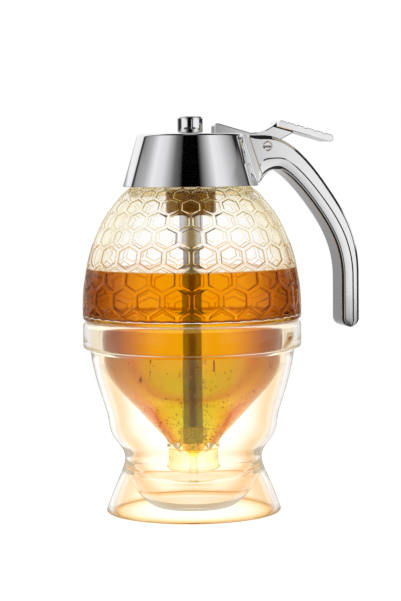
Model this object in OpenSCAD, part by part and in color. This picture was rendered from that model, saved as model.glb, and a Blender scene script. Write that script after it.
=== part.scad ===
// Honey dispenser: a glass jar with a funnel bottom hangs in a waisted glass stand. A steel cap
// carries a cast handle and a thumb lever. The lever lifts a rod whose stopper closes the outlet.
// The origin is the middle of the stand's foot on the table, +Z is up and the handle points to +X.

/* [Stand] */
// Height of the stand to the flat top of its rim
stand_h = 76.3; // [74:0.1:84]
// Radius of the foot on the table
foot_r = 34.9; // [33:0.1:39]
// Outer radius at the waist
waist_r = 27.4; // [27:0.1:29.5]
// Height of the narrowest place of the waist
waist_z = 21.5; // [20.5:0.1:23]
// Height of the thick rim
rim_h = 11; // [9:0.1:12]
// Thickness of the stand's glass
stand_t = 2.2; // [1.8:0.1:2.4]
// Radius of the foot's rounded outer edge
foot_round = 0.9; // [0.5:0.1:1.2]

/* [Jar] */
// Outer radius of the jar's belly
jar_r = 43.6; // [43:0.1:46]
// Height of the straight band between the jar's seat and the dome
belly_h = 3.4; // [3:0.1:6]
// Fullness of the dome curve, where 2 is an ellipse
dome_power = 2.15; // [2.05:0.01:2.3]
// Height of the dome up to the neck
shoulder_h = 50.6; // [48:0.1:54]
// Radius of the dome where it meets the neck
shoulder_r = 22.6; // [21:0.1:22.8]
// Thickness of the jar's glass
jar_t = 2.2; // [1.8:0.1:2.4]
// Outer radius of the neck
neck_r = 19.5; // [19.3:0.1:19.7]
// Height of the neck above the dome
neck_h = 7.4; // [7.2:0.1:9]
// Thickness of the neck's glass
neck_t = 2.8; // [2.4:0.1:3]
// Width of the ledge that the jar sits on, outside the collar that hangs in the stand's rim
ledge_w = 7.6; // [7.2:0.1:9]
// Height of the straight collar
collar_h = 10.6; // [9:0.1:12]
// Height from the outlet's tip to the jar's seat
funnel_h = 65.3; // [64:0.1:66]
// Slope of the funnel, as radius gained per height
funnel_slope = 0.916; // [0.88:0.002:0.95]
// Outer radius of the outlet's neck
outlet_neck_r = 10; // [9.4:0.1:10.5]
// Outer radius of the outlet's bead
bead_r = 10.9; // [10.6:0.1:11.6]
// Radius of the honey passage
passage_r = 1.6; // [1.3:0.1:2]

/* [Cap] */
// Outer radius of the cap at its lower edge
cap_bottom_r = 27; // [26.8:0.1:28]
// Outer radius of the cap at its top, before the edge is rounded
cap_top_r = 20.9; // [20.7:0.1:21.8]
// Height of the cap
cap_h = 20.8; // [19.4:0.1:21.4]
// Rounding of the cap's top edge
cap_round = 1.6; // [1:0.1:2]
// Thickness of the cap's sheet
sheet_t = 1; // [0.8:0.1:1.1]
// Height of the room over the liner for the lever and the collar
head_h = 8.3; // [8:0.1:10]
// Thickness of the liner's flange
flange_t = 1.8; // [1.4:0.1:2]
// Depth of the liner's well under the flange's top
well_h = 10.3; // [10:0.1:10.6]
// Thickness of the liner's walls
liner_t = 1.2; // [0.9:0.1:1.4]
// Thickness of the cap's gasket
gasket_t = 1.2; // [1:0.1:2]
// Angle that each closing lug spans
lug_span = 30; // [20:1:32]
// Thickness of each closing lug
lug_t = 1.6; // [1.2:0.1:1.8]
// Radial reach of the neck's lugs
lug_reach = 1.4; // [1:0.1:1.5]

/* [Guide] */
// Outer radius of the spring housing
housing_r = 10; // [9.6:0.1:12]
// Height of the spring housing
housing_h = 10.7; // [10:0.1:14]
// Thickness of the spring housing
housing_t = 1.2; // [0.8:0.1:1.4]
// Outer radius of the guide sleeve
sleeve_r = 4.7; // [4.6:0.1:5.4]
// Length of the guide sleeve under the housing
sleeve_h = 12.7; // [8:0.1:24]
// Length of the sliding bush in the sleeve
bush_h = 4; // [3:0.1:6]

/* [Plunger] */
// Radius of the plunger rod
rod_r = 3.2; // [3:0.05:3.25]
// Radius of the knob on the rod
knob_r = 5; // [4.6:0.1:5.4]
// Height of the knob
knob_h = 6.5; // [5.5:0.1:9]
// Radius of the collar that the lever lifts
lift_collar_r = 6.6; // [6.3:0.1:7]
// Thickness of the lift collar
lift_collar_t = 2; // [1.6:0.1:2.4]
// Radius of the stopper's ball
stopper_r = 5.2; // [4.8:0.1:5.6]
// Height of the stopper over its ball's centre
stopper_h = 8.7; // [7.5:0.1:12]
// Radius of the spring's wire centre line
spring_r = 5; // [4.6:0.1:5.6]
// Diameter of the spring's wire
wire_d = 0.8; // [0.6:0.05:0.85]
// Number of the spring's turns
spring_turns = 3.5; // [3:0.5:4]

/* [Lever] */
// Distance from the jar's axis to the lever's pivot
pivot_x = 30; // [29.5:0.1:31]
// Depth of the pivot under the cap's top
pivot_drop = 5.2; // [5:0.1:5.6]
// Width of the lever's arm
lever_w = 5.5; // [4.5:0.1:5.6]
// Radius of the lever's hub
hub_r = 3.9; // [3.5:0.1:4]
// Front of the lever's nose from the jar's axis
nose_x = 9.3; // [8.9:0.1:9.8]
// Height of the nose over the cap's top
nose_h = 4; // [3:0.1:5]
// Thickness of the leg under the nose
leg_t = 3.5; // [3:0.1:3.6]
// Length of the thumb plate
plate_l = 23.4; // [20:0.1:28]
// Thickness of the thumb plate
plate_t = 2.8; // [2.4:0.1:3.4]
// Slope of the thumb plate
plate_slope = 15.8; // [10:0.1:20]
// Number of grooves across the thumb plate
groove_count = 5; // [3:1:5]
// Distance between the grooves
groove_pitch = 4.05; // [3.6:0.05:4.2]
// Radius of the fork's round pads
pad_r = 2.2; // [2:0.1:2.4]

/* [Handle] */
// Width of the handle, and of the thumb plate
handle_w = 13; // [12:0.1:15]
// Furthest reach of the handle from the jar's axis
handle_reach = 68.3; // [67:0.1:74]
// Thickness of the grip
grip_t = 7.4; // [6:0.1:8.5]
// Height of the grip's lower end over the table
grip_z = 72.2; // [60:0.1:80]
// Depth of the handle's head under the cap's top
head_drop = 0.9; // [0.5:0.1:1.2]
// Radius of the pivot pin
pin_r = 1.5; // [1.3:0.05:1.6]
// Radius of the pivot pin's slotted head
pin_head_r = 1.95; // [1.85:0.05:2.2]
// Radius of the handle's screws
screw_r = 1.2; // [1:0.05:1.3]
// Radius of the screws' heads
screw_head_r = 1.9; // [1.7:0.05:2]

/* [Fits] */
// Step from the jar's belly in to the stand's rim
rim_step = 0.1; // [0:0.1:1]
// Play between the jar's collar and the stand's rim
rim_play = 1.2; // [0.8:0.1:1.4]
// Gap between pieces that move past each other or rest loosely
gap = 0.3; // [0.25:0.01:0.34]
// Radial play of a sliding or turning fit
fit_gap = 0.05; // [0.03:0.01:0.08]

/* [Hidden] */
$fn = 64;
eps = 0.01;

// Heights, from the table upwards
seat_z = stand_h + gap;
tip_z = seat_z - funnel_h;
dome_z = seat_z + belly_h;
shoulder_z = dome_z + shoulder_h;
neck_top = shoulder_z + neck_h;
gasket_z = neck_top + gap;
flange_z = gasket_z + gasket_t;
flange_top = flange_z + flange_t;
cap_under = flange_top + head_h;
cap_top = cap_under + sheet_t;
cap_z = cap_top - cap_h;
well_top = flange_top - well_h;
floor_t = 1.6;
well_z = well_top - floor_t;
housing_z = well_z - housing_h;
sleeve_z = housing_z - sleeve_h;
pivot_z = cap_top - pivot_drop;
head_top = cap_top - head_drop;
knob_z = cap_top + gap;

// Radii that follow from the sizes above
neck_bore = neck_r - neck_t;
well_r = neck_bore - 0.5;
skirt_bore = neck_r + lug_reach + 0.6;
cap_slope = (cap_bottom_r - cap_top_r) / cap_h;
sleeve_bore = rod_r + 0.4;
bush_r = rod_r + 0.85;
rim_r = jar_r - rim_step;
collar_r = jar_r - ledge_w;
collar_inner = collar_r - jar_t;
rim_inner = collar_r + rim_play;

function cap_r(z) = cap_bottom_r - (z - cap_z) * cap_slope;
function cap_inner_r(z) = cap_r(z) - sheet_t - 0.05;

// Height that the dome's curve would reach on the axis if it ran on over the neck
dome_h = shoulder_h / pow(1 - pow(shoulder_r / jar_r, dome_power), 1 / dome_power);

// The funnel's outer and inner walls, measured at the reference radius where both are straight
funnel_ref_r = 17.6;
funnel_ref_z = tip_z + 25;
funnel_wall = jar_t * sqrt(1 + pow(funnel_slope, 2)) - 0.2;
function funnel_z(r) = funnel_ref_z + (r - funnel_ref_r) / funnel_slope;
function funnel_inner_z(r) = funnel_z(r + funnel_wall);

// Closing lugs, by their middle angles
LUG_ANGLES = [85, 205, 325];
lug_z = neck_top - 3.4;

// The rod's stop: the stopper's ball rests in the funnel just short of touching it
funnel_half_angle = atan(funnel_slope);
apex_z = funnel_inner_z(0);
ball_z = apex_z + (stopper_r + gap) / sin(funnel_half_angle);
rod_z = ball_z - 0.3;
groove_z = rod_z + 3;
groove_h = 2;
rod_groove_r = rod_r - 0.8;

// The fork's pads lift the collar from below
pad_z = well_top + 1.8 + pad_r;
lift_collar_z = pad_z + pad_r + gap;
tine_t = 1.8;
fork_gap = rod_r + 0.8;
fork_w = fork_gap + 2.2;
leg_z = pad_z - pad_r + tine_t;
leg_back = nose_x + leg_t;
leg_middle = nose_x + leg_t / 2;

// The spring stands on its seat and presses up against the liner
spring_recess = 0.8;
spring_top = well_z + spring_recess;
clip_z = housing_z + housing_t + 0.4;
clip_t = 0.6;
seat_t = 0.8;
spring_z = clip_z + clip_t + seat_t;
spigot_h = 3;
spigot_bore = housing_r - housing_t - 1.4;

function bezier(a, b, c, d, steps = 10) =
    [for (i = [0:steps]) let (t = i / steps, s = 1 - t)
        s * s * s * a + 3 * s * s * t * b + 3 * s * t * t * c + t * t * t * d];
function arc(x, y, r, from, to, steps = 6) =
    [for (i = [0:steps]) let (a = from + (to - from) * i / steps) [x + r * cos(a), y + r * sin(a)]];
function shifted(points, dx) = [for (p = points) [p[0] + dx, p[1]]];
function reversed(points) = [for (i = [len(points) - 1:-1:0]) points[i]];
function dome_r(z, a, b) = a * pow(1 - pow((z - dome_z) / b, dome_power), 1 / dome_power);
function dome(a, b, top, steps = 16) =
    [for (i = [0:steps]) let (z = dome_z + (top - dome_z) * sin(90 * i / steps)) [dome_r(z, a, b), z]];

// Outlines in the handle's plane lie in X and Z and are as wide as given in Y
module across(width) {
    rotate([90, 0, 0])
        translate([0, 0, -width / 2])
            linear_extrude(height = width) children();
}

module rod_along_y(x, z, r, from, to) {
    translate([x, to, z]) rotate([90, 0, 0]) cylinder(r = r, h = to - from);
}

// ---------------------------------------------------------------- stand

rim_z = stand_h - rim_h;
under_rim_r = rim_r - 2.7;
bulge_r = waist_r + 6.3;
bulge_z = waist_z + 14;
bowl_r = waist_r - 15.4;
bowl_floor = 3.6;
bowl_under = 1.4;
crotch_z = waist_z - 5.7;
crotch_r = waist_r - 0.9;
foot_ring = 2.3;

// The outer wall: skirt, waist, shoulder and flare
skirt_line = bezier([foot_r - 0.03, foot_round + 0.06], [foot_r - 3.7, waist_z - 9.5],
    [waist_r, waist_z - 4], [waist_r, waist_z]);
waist_line = bezier([waist_r, waist_z], [waist_r, waist_z + 5.5],
    [bulge_r - 0.8, waist_z + 6.5], [bulge_r, bulge_z]);
flare_line = bezier([bulge_r, bulge_z], [bulge_r + 0.5, bulge_z + 6.5],
    [under_rim_r - 2.2, rim_z - 16], [under_rim_r, rim_z]);

module stand() {
    rim_round = 1.8;
    color([0.93, 0.92, 0.88, 0.5])
        rotate_extrude($fn = 96)
            polygon(concat(
                [[0, bowl_under]],
                bezier([bowl_r + 1, bowl_under], [bowl_r + 6, bowl_under], [crotch_r - 0.5, crotch_z - 6],
                    [crotch_r, crotch_z]),
                bezier([crotch_r + 0.3, crotch_z - 0.5], [crotch_r + 1.5, crotch_z - 4],
                    [foot_r - foot_ring - 2.2, 7], [foot_r - foot_ring, 0.4], 6),
                [[foot_r - foot_ring + 0.4, 0]],
                arc(foot_r - foot_round, foot_round, foot_round, -90, 0, 4),
                skirt_line,
                waist_line,
                flare_line,
                [[under_rim_r + 0.9, rim_z + 0.2]],
                arc(rim_r - 1.2, rim_z + 1.6, 1.2, -60, 0, 3),
                arc(rim_r - rim_round, stand_h - rim_round, rim_round, 0, 90, 5),
                arc(rim_inner + 1, stand_h - 1, 1, 90, 180, 4),
                [[rim_inner, rim_z + 1.5]],
                [[under_rim_r - stand_t, rim_z - 1]],
                reversed(shifted([for (i = [0:len(flare_line) - 2]) flare_line[i]], -stand_t)),
                reversed(shifted([for (i = [0:len(waist_line) - 2]) waist_line[i]], -stand_t)),
                bezier([waist_r - stand_t, waist_z - 1], [waist_r - stand_t, waist_z / 2],
                    [bowl_r + 7, bowl_floor], [bowl_r, bowl_floor]),
                [[0, bowl_floor]]));
}

// ---------------------------------------------------------------- jar

collar_z = seat_z - collar_h;
bend_r = collar_r - 7.5;
bead_z = tip_z + 6.4;

module neck_lugs(inner, outer, z) {
    for (angle = LUG_ANGLES)
        rotate([0, 0, angle - lug_span / 2])
            rotate_extrude(angle = lug_span)
                polygon([[inner, z], [outer, z], [outer, z + lug_t], [inner, z + lug_t]]);
}

module jar() {
    corner = 2;
    belly_floor = seat_z + jar_t - 0.6;
    inner_corner = dome_z - belly_floor - 0.2;
    inner_r = jar_r - jar_t;
    inner_dome_h = dome_h - 1.6 * jar_t;
    neck_base = dome_z + inner_dome_h * pow(1 - pow(neck_bore / inner_r, dome_power), 1 / dome_power);
    bend_z = funnel_z(bend_r);
    inner_bend_r = bend_r - funnel_wall;
    color([0.98, 0.86, 0.55, 0.45])
        union() {
            rotate_extrude($fn = 96)
                polygon(concat(
                    [[passage_r + 1.6, tip_z]],
                    bezier([passage_r + 4, tip_z], [bead_r - 2, tip_z + 0.6],
                        [bead_r, bead_z - 3], [bead_r, bead_z], 7),
                    [[outlet_neck_r, bead_z + 2.8]],
                    [[outlet_neck_r, funnel_z(outlet_neck_r) - 2.2]],
                    [[outlet_neck_r + 0.6, funnel_z(outlet_neck_r) - 1.6]],
                    [[outlet_neck_r + 0.6, funnel_z(outlet_neck_r + 0.6)]],
                    bezier([bend_r, bend_z], [bend_r + 4.5, bend_z + 4.9],
                        [collar_r, collar_z - 8], [collar_r, collar_z]),
                    [[collar_r, seat_z]],
                    arc(jar_r - corner, seat_z + corner, corner, -90, 0, 5),
                    dome(jar_r, dome_h, shoulder_z),
                    [[neck_r + 0.6, shoulder_z]],
                    [[neck_r, shoulder_z + 0.6]],
                    [[neck_r, neck_top - 0.4]],
                    [[neck_r - 0.4, neck_top]],
                    [[neck_bore + 0.4, neck_top]],
                    [[neck_bore, neck_top - 0.4]],
                    reversed(dome(inner_r, inner_dome_h, neck_base)),
                    arc(inner_r - inner_corner, belly_floor + inner_corner, inner_corner, 0, -90, 5),
                    [[collar_inner, belly_floor]],
                    reversed(bezier([inner_bend_r, bend_z], [inner_bend_r + 4.5, bend_z + 4.9],
                        [collar_inner, collar_z - 8], [collar_inner, collar_z])),
                    [[passage_r, funnel_inner_z(passage_r)]],
                    [[passage_r, tip_z + 3.2]]));
            neck_lugs(neck_r - 0.5, neck_r + lug_reach, lug_z);
        }
}

// ---------------------------------------------------------------- cap

lever_slot_w = lever_w + 2 * gap;

module cap_shell() {
    edge = atan(cap_slope);
    tangent = cap_round * tan((90 - edge) / 2);
    color([0.78, 0.78, 0.8])
        difference() {
            rotate_extrude($fn = 96)
                polygon(concat(
                    [[cap_inner_r(cap_z), cap_z], [cap_bottom_r, cap_z]],
                    arc(cap_top_r - tangent, cap_top - cap_round, cap_round, edge, 90, 6),
                    [[rod_r + gap, cap_top], [rod_r + gap, cap_under]],
                    [[cap_inner_r(cap_under) - 0.8, cap_under]],
                    [[cap_inner_r(cap_under - 0.8), cap_under - 0.8]]));
            // The slot that the lever works in, through the top and the side
            translate([nose_x - 0.6, -lever_slot_w / 2, pivot_z - 2.8])
                cube([cap_bottom_r, lever_slot_w, cap_h]);
            for (y = SCREW_Y)
                translate([neck_r, y, screw_z]) rotate([0, 90, 0]) cylinder(r = screw_r + 0.15, h = 12);
        }
}

module cap_liner() {
    skirt_z = lug_z - lug_t - gap - 0.9;
    play = 0.15;
    color([0.9, 0.9, 0.88])
        difference() {
            union() {
                rotate_extrude($fn = 96)
                    polygon([
                        [well_r - liner_t, flange_top],
                        [cap_inner_r(flange_top) - play, flange_top],
                        [cap_inner_r(skirt_z) - play, skirt_z],
                        [skirt_bore, skirt_z],
                        [skirt_bore, flange_z],
                        [well_r, flange_z],
                        [well_r, well_z],
                        [housing_r - housing_t - fit_gap, well_z],
                        [housing_r - housing_t - fit_gap, well_z - spigot_h],
                        [spigot_bore, well_z - spigot_h],
                        [spigot_bore, spring_top],
                        [bush_r + fit_gap, spring_top],
                        [bush_r + fit_gap, well_top],
                        [well_r - liner_t, well_top]]);
                neck_lugs(neck_r + 0.4, skirt_bore + 0.4, lug_z - gap - lug_t);
            }
            // The window in the skirt that the heads of the handle's screws sit in
            translate([neck_r - 1, -SCREW_Y[1] - screw_head_r - gap, screw_z - screw_head_r - gap])
                cube([cap_bottom_r - neck_r, 2 * (SCREW_Y[1] + screw_head_r + gap),
                    2 * (screw_head_r + gap)]);
        }
}

module ring(inner, outer, z, h) {
    rotate_extrude($fn = 96)
        polygon([[inner, z], [outer, z], [outer, z + h], [inner, z + h]]);
}

module cap_gasket() {
    color([0.85, 0.85, 0.83]) ring(well_r + 0.4, neck_r + 0.2, gasket_z, gasket_t);
}

// ---------------------------------------------------------------- guide and spring

module spring_housing() {
    round_r = 1.2;
    color([0.6, 0.58, 0.55])
        rotate_extrude($fn = 96)
            polygon(concat(
                [[bush_r + fit_gap, housing_z]],
                arc(housing_r - round_r, housing_z + round_r, round_r, -90, 0, 4),
                [[housing_r, well_z]],
                [[housing_r - housing_t, well_z]],
                [[housing_r - housing_t, housing_z + housing_t]],
                [[bush_r + fit_gap, housing_z + housing_t]]));
}

module guide_sleeve() {
    color([0.72, 0.72, 0.74])
        rotate_extrude($fn = 64)
            polygon([
                [bush_r, sleeve_z + 0.3],
                [bush_r + 0.3, sleeve_z],
                [sleeve_r, sleeve_z],
                [sleeve_r, housing_z],
                [bush_r, housing_z],
                [bush_r, housing_z + housing_t],
                [sleeve_bore, housing_z + housing_t],
                [sleeve_bore, sleeve_z + 0.3 + bush_h],
                [bush_r, sleeve_z + 0.3 + bush_h]]);
}

module upper_bush() {
    color([0.95, 0.95, 0.93])
        rotate_extrude($fn = 64)
            polygon([
                [rod_r + fit_gap, spring_top],
                [bush_r, spring_top],
                [bush_r, well_top],
                [bush_r + 1.2, well_top],
                [bush_r + 1.2, well_top + 0.6],
                [rod_r + fit_gap, well_top + 0.6]]);
}

module lower_bush() {
    color([0.95, 0.95, 0.93])
        ring(rod_r + fit_gap, bush_r - fit_gap / 2, sleeve_z + 0.3, bush_h);
}

// The coil as one tube: six-sided rings along a helix whose two ends lie square on their seats
module coil(r, wire, z0, z1, turns) {
    per_turn = 8;
    sides = 6;
    count = round(turns * per_turn);
    half = wire / 2;
    low = z0 + half + 0.02;
    high = z1 - half - 0.02;
    lead = [for (i = [0:count]) let (t = i / count, s = (1 - cos(180 * t)) / 2)
        low + (high - low) * (0.85 * t + 0.15 * s)];
    rings = [for (i = [0:count]) let (a = 360 * turns * i / count)
        [for (j = [0:sides - 1]) let (b = 360 * (j + 0.5) / sides, d = r + half * cos(b))
            [d * cos(a), d * sin(a), lead[i] + half * sin(b)]]];
    points = [for (one = rings) for (p = one) p];
    last = count * sides;
    tube = [for (i = [0:count - 1]) for (j = [0:sides - 1])
        let (a = i * sides + j, b = i * sides + (j + 1) % sides)
            for (face = [[a, a + sides, b], [b, a + sides, b + sides]]) face];
    caps = [for (j = [1:sides - 2]) for (face = [[0, j, j + 1], [last, last + j + 1, last + j]]) face];
    // Least clear distance between one turn and the next, over the whole coil
    self_gap = min([for (i = [0:count - per_turn]) lead[i + per_turn] - lead[i]]) - wire;
    echo(spring_self_gap = self_gap);
    polyhedron(points = points, faces = concat(tube, caps), convexity = 8);
}

module return_spring() {
    color([0.8, 0.8, 0.82]) coil(spring_r, wire_d, spring_z, spring_top, spring_turns);
}

// ---------------------------------------------------------------- handle

grip_in = handle_reach - grip_t;
grip_round = grip_t / 2 - 0.1;
head_bend_x = pivot_x - 1.5;

// A point at the given shares of the way across and down from one corner to the other
function share(a, b, across, down) = [a[0] + across * (b[0] - a[0]), a[1] + down * (b[1] - a[1])];

// The back of the handle, from the head down to the grip
head_bend = [head_bend_x, head_top];
grip_back = [handle_reach, grip_z];
back_mid = share(head_bend, grip_back, 0.666, 0.262);
back_line = concat(
    bezier(head_bend, share(head_bend, grip_back, 0.276, 0),
        share(head_bend, grip_back, 0.4925, 0.1355), back_mid),
    bezier(back_mid, share(head_bend, grip_back, 0.8467, 0.3935),
        share(head_bend, grip_back, 1, 0.512), share(head_bend, grip_back, 1, 0.719)));
// The arch under the head and the inside of the handle
arch_tip = [cap_bottom_r - 1, cap_z - 0.1];
arch_top = [pivot_x + 4.2, cap_z + 6.3];
grip_front = [grip_in, grip_z];
inner_mid = share(arch_top, grip_front, 0.6105, 0.2473);
inner_line = concat(
    bezier(arch_tip, [cap_bottom_r + 1.2, cap_z + 3.4], arch_top - [3.7, 0], arch_top),
    bezier(arch_top, share(arch_top, grip_front, 0.112, 0),
        share(arch_top, grip_front, 0.371, 0.1064), inner_mid),
    bezier(inner_mid, share(arch_top, grip_front, 0.828, 0.3756),
        share(arch_top, grip_front, 1, 0.502), share(arch_top, grip_front, 1, 0.69)));

SCREW_Y = [-3.2, 3.2];
screw_z = flange_z - 2.3;
screw_seat = cap_inner_r(screw_z) - 1.5;
screw_depth = 7;
pin_z = pivot_z;

module handle() {
    color([0.8, 0.8, 0.82])
        difference() {
            across(handle_w)
                polygon(concat(
                    [[cap_top_r - 4, head_top]],
                    back_line,
                    reversed(arc(handle_reach - grip_round, grip_z + grip_round, grip_round, -90, 0, 6)),
                    reversed(arc(grip_in + grip_round, grip_z + grip_round, grip_round, 180, 270, 6)),
                    reversed(inner_line),
                    [[cap_top_r - 4, cap_z - 0.1]]));
            // The head fits round the cap's side
            rotate_extrude($fn = 96)
                polygon([
                    [0, cap_z - 1],
                    [cap_r(cap_z - 1) + fit_gap, cap_z - 1],
                    [cap_r(cap_top + 1) + fit_gap, cap_top + 1],
                    [0, cap_top + 1]]);
            // The lever's slot in the head
            translate([cap_top_r - 2, -lever_slot_w / 2, pivot_z - hub_r - 0.5])
                cube([pivot_x - cap_top_r + 10.5, lever_slot_w, cap_h]);
            rod_along_y(pivot_x, pin_z, pin_r + fit_gap, -handle_w, handle_w);
            rod_along_y(pivot_x, pin_z, pin_head_r + 0.1, -handle_w, -handle_w / 2 + 1);
            for (y = SCREW_Y)
                translate([neck_r, y, screw_z])
                    rotate([0, 90, 0])
                        cylinder(r = screw_r + fit_gap, h = screw_seat + screw_depth + 0.2 - neck_r);
        }
}

module handle_screws() {
    head = 1.1;
    color([0.6, 0.6, 0.62])
        for (y = SCREW_Y)
            translate([screw_seat, y, screw_z])
                rotate([0, 90, 0])
                    difference() {
                        union() {
                            cylinder(r = screw_r, h = screw_depth);
                            translate([0, 0, -head]) cylinder(r = screw_head_r, h = head + eps);
                        }
                        translate([0, 0, -head - eps]) cylinder(r = 0.9, h = 0.7, $fn = 6);
                    }
}

module pivot_pin() {
    head = 0.95;
    slot = 0.7;
    color([0.7, 0.7, 0.72])
        difference() {
            union() {
                rod_along_y(pivot_x, pin_z, pin_r, -handle_w / 2 + head, handle_w / 2 - 0.1);
                rod_along_y(pivot_x, pin_z, pin_head_r, -handle_w / 2 + 0.05, -handle_w / 2 + head + eps);
            }
            translate([pivot_x - 3, -handle_w / 2 - 1, pin_z - slot / 2]) cube([6, 1.5, slot]);
        }
}

// ---------------------------------------------------------------- lever

// The thumb plate's upper back corner, and a point that lies along and down from there
plate_corner = [pivot_x + 5.4, pivot_z + 10.3];
function on_plate(along, down) = plate_corner
    + [along * cos(plate_slope) - down * sin(plate_slope),
        -along * sin(plate_slope) - down * cos(plate_slope)];
arm_under = pivot_z - 2;
nose_top = cap_top + nose_h;
fork_screw_r = 1;

module lever() {
    groove_r = 0.6;
    end_r = plate_t / 2;
    color([0.75, 0.75, 0.77])
        difference() {
            union() {
                across(lever_w)
                    polygon(concat(
                        [[nose_x, leg_z]],
                        arc(nose_x + 1.3, nose_top - 1.3, 1.3, 180, 73, 5),
                        bezier([pivot_x - 6, cap_top + 0.15], [pivot_x - 2, cap_top - 0.3],
                            [pivot_x + 2.9, cap_top + 1.6], on_plate(0, 0.7), 6),
                        [on_plate(0.8, 1)],
                        [on_plate(8, plate_t - 0.4)],
                        bezier([pivot_x + 11, cap_top - 0.4], [pivot_x + 6.5, pivot_z + 2.6],
                            [pivot_x + hub_r + 0.8, pivot_z + 1.4],
                            [pivot_x + hub_r, pivot_z], 4),
                        arc(pivot_x, pivot_z, hub_r, -15, -150, 8),
                        [[leg_back + 1, arm_under]],
                        [[leg_back, arm_under - 1]],
                        [[leg_back, leg_z]]));
                across(handle_w)
                    polygon(concat(
                        [on_plate(-0.2, plate_t), on_plate(0, 0.6), on_plate(0.6, 0)],
                        [for (i = [0:4]) let (a = 90 - 45 * i)
                            on_plate(plate_l - end_r + end_r * cos(a), end_r - end_r * sin(a))]));
            }
            for (i = [0:groove_count - 1])
                let (p = on_plate(2.9 + i * groove_pitch, -0.15))
                    rod_along_y(p[0], p[1], groove_r, -handle_w, handle_w);
            rod_along_y(pivot_x, pin_z, pin_r + fit_gap, -handle_w, handle_w);
            translate([leg_middle, 0, leg_z - 1]) cylinder(r = fork_screw_r + fit_gap, h = 5.5);
        }
}

module lift_fork() {
    color([0.7, 0.7, 0.72])
        difference() {
            union() {
                translate([0, -fork_w, pad_z - pad_r]) cube([leg_back, 2 * fork_w, tine_t]);
                rod_along_y(0, pad_z, pad_r, -fork_w, fork_w);
            }
            translate([-5, -fork_gap, pad_z - pad_r - 1]) cube([5 + nose_x - 0.8, 2 * fork_gap, 8]);
            translate([leg_middle, 0, pad_z - pad_r - 1]) cylinder(r = fork_screw_r + fit_gap, h = 5);
        }
}

module fork_screw() {
    head = 1;
    z = pad_z - pad_r;
    color([0.6, 0.6, 0.62])
        difference() {
            translate([leg_middle, 0, 0])
                union() {
                    translate([0, 0, z - head / 2]) cylinder(r = fork_screw_r, h = 5.8 + head / 2);
                    translate([0, 0, z - head]) cylinder(r = 1.7, h = head);
                }
            translate([leg_middle - 3, -0.3, z - head - eps]) cube([6, 0.6, 0.5]);
        }
}

// ---------------------------------------------------------------- plunger

module plunger_rod() {
    spigot_r = rod_r - 1.2;
    color([0.75, 0.75, 0.77])
        rotate_extrude($fn = 64)
            polygon([
                [0, rod_z],
                [rod_r - 0.3, rod_z],
                [rod_r, rod_z + 0.3],
                [rod_r, groove_z],
                [rod_groove_r, groove_z],
                [rod_groove_r, groove_z + groove_h],
                [rod_r, groove_z + groove_h],
                [rod_r, clip_z],
                [rod_r - 0.5, clip_z],
                [rod_r - 0.5, clip_z + clip_t],
                [rod_r, clip_z + clip_t],
                [rod_r, knob_z],
                [spigot_r, knob_z],
                [spigot_r, knob_z + knob_h - 2],
                [0, knob_z + knob_h - 2]]);
}

module knob() {
    round_r = 0.9;
    bore_r = rod_r - 1.2 + fit_gap;
    color([0.8, 0.8, 0.82])
        rotate_extrude($fn = 64)
            polygon(concat(
                [[bore_r, knob_z], [knob_r - 0.2, knob_z], [knob_r, knob_z + 0.2]],
                arc(knob_r - round_r, knob_z + knob_h - round_r, round_r, 0, 90, 5),
                [[0, knob_z + knob_h]],
                [[0, knob_z + knob_h - 1.8]],
                [[bore_r, knob_z + knob_h - 1.8]]));
}

grub_r = 0.7;

module lift_collar() {
    color([0.7, 0.7, 0.72])
        difference() {
            ring(rod_r + fit_gap / 2, lift_collar_r, lift_collar_z, lift_collar_t);
            translate([0, 0, lift_collar_z + lift_collar_t / 2])
                rotate([0, -90, 0]) cylinder(r = grub_r + fit_gap / 2, h = lift_collar_r + 1);
        }
}

module collar_screw() {
    length = lift_collar_r - rod_r - 0.35;
    color([0.35, 0.35, 0.36])
        translate([-rod_r - 0.05, 0, lift_collar_z + lift_collar_t / 2])
            rotate([0, -90, 0])
                difference() {
                    cylinder(r = grub_r, h = length);
                    translate([0, 0, length - 0.8]) cylinder(r = 0.35, h = 1, $fn = 6);
                }
}

module spring_seat() {
    color([0.7, 0.7, 0.72])
        ring(rod_r + fit_gap, spring_r + wire_d, clip_z + clip_t, seat_t);
}

module seat_clip() {
    color([0.5, 0.5, 0.52])
        rotate([0, 0, 40])
            rotate_extrude(angle = 280)
                polygon([
                    [rod_r - 0.5 + fit_gap / 2, clip_z],
                    [rod_r + 1.4, clip_z],
                    [rod_r + 1.4, clip_z + clip_t],
                    [rod_r - 0.5 + fit_gap / 2, clip_z + clip_t]]);
}

module stopper() {
    bore = rod_r + fit_gap / 2;
    ridge = rod_groove_r + fit_gap / 2;
    top = ball_z + stopper_h;
    color([0.95, 0.93, 0.85])
        rotate_extrude($fn = 64)
            polygon(concat(
                [[0, ball_z - stopper_r]],
                arc(0, ball_z, stopper_r, -80, 30, 12),
                [[rod_r + 1.2, top - 1]],
                [[rod_r + 0.7, top]],
                [[bore, top]],
                [[bore, groove_z + groove_h]],
                [[ridge, groove_z + groove_h]],
                [[ridge, groove_z]],
                [[bore, groove_z]],
                [[bore, rod_z]],
                [[0, rod_z]]));
}

stand();
jar();
cap_shell();
cap_liner();
cap_gasket();
spring_housing();
guide_sleeve();
upper_bush();
lower_bush();
handle();
handle_screws();
pivot_pin();
lever();
lift_fork();
fork_screw();
plunger_rod();
knob();
lift_collar();
collar_screw();
spring_seat();
seat_clip();
return_spring();
stopper();
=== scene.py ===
# A honey dispenser: a glass jar with a funnel bottom hangs in a waisted glass stand, and a steel cap
# with a cast handle and a thumb lever lifts the rod that closes the outlet. Points are in millimetres
# in the frame's own axes, and each mesh is written in metres.
import math
from itertools import combinations

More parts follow.
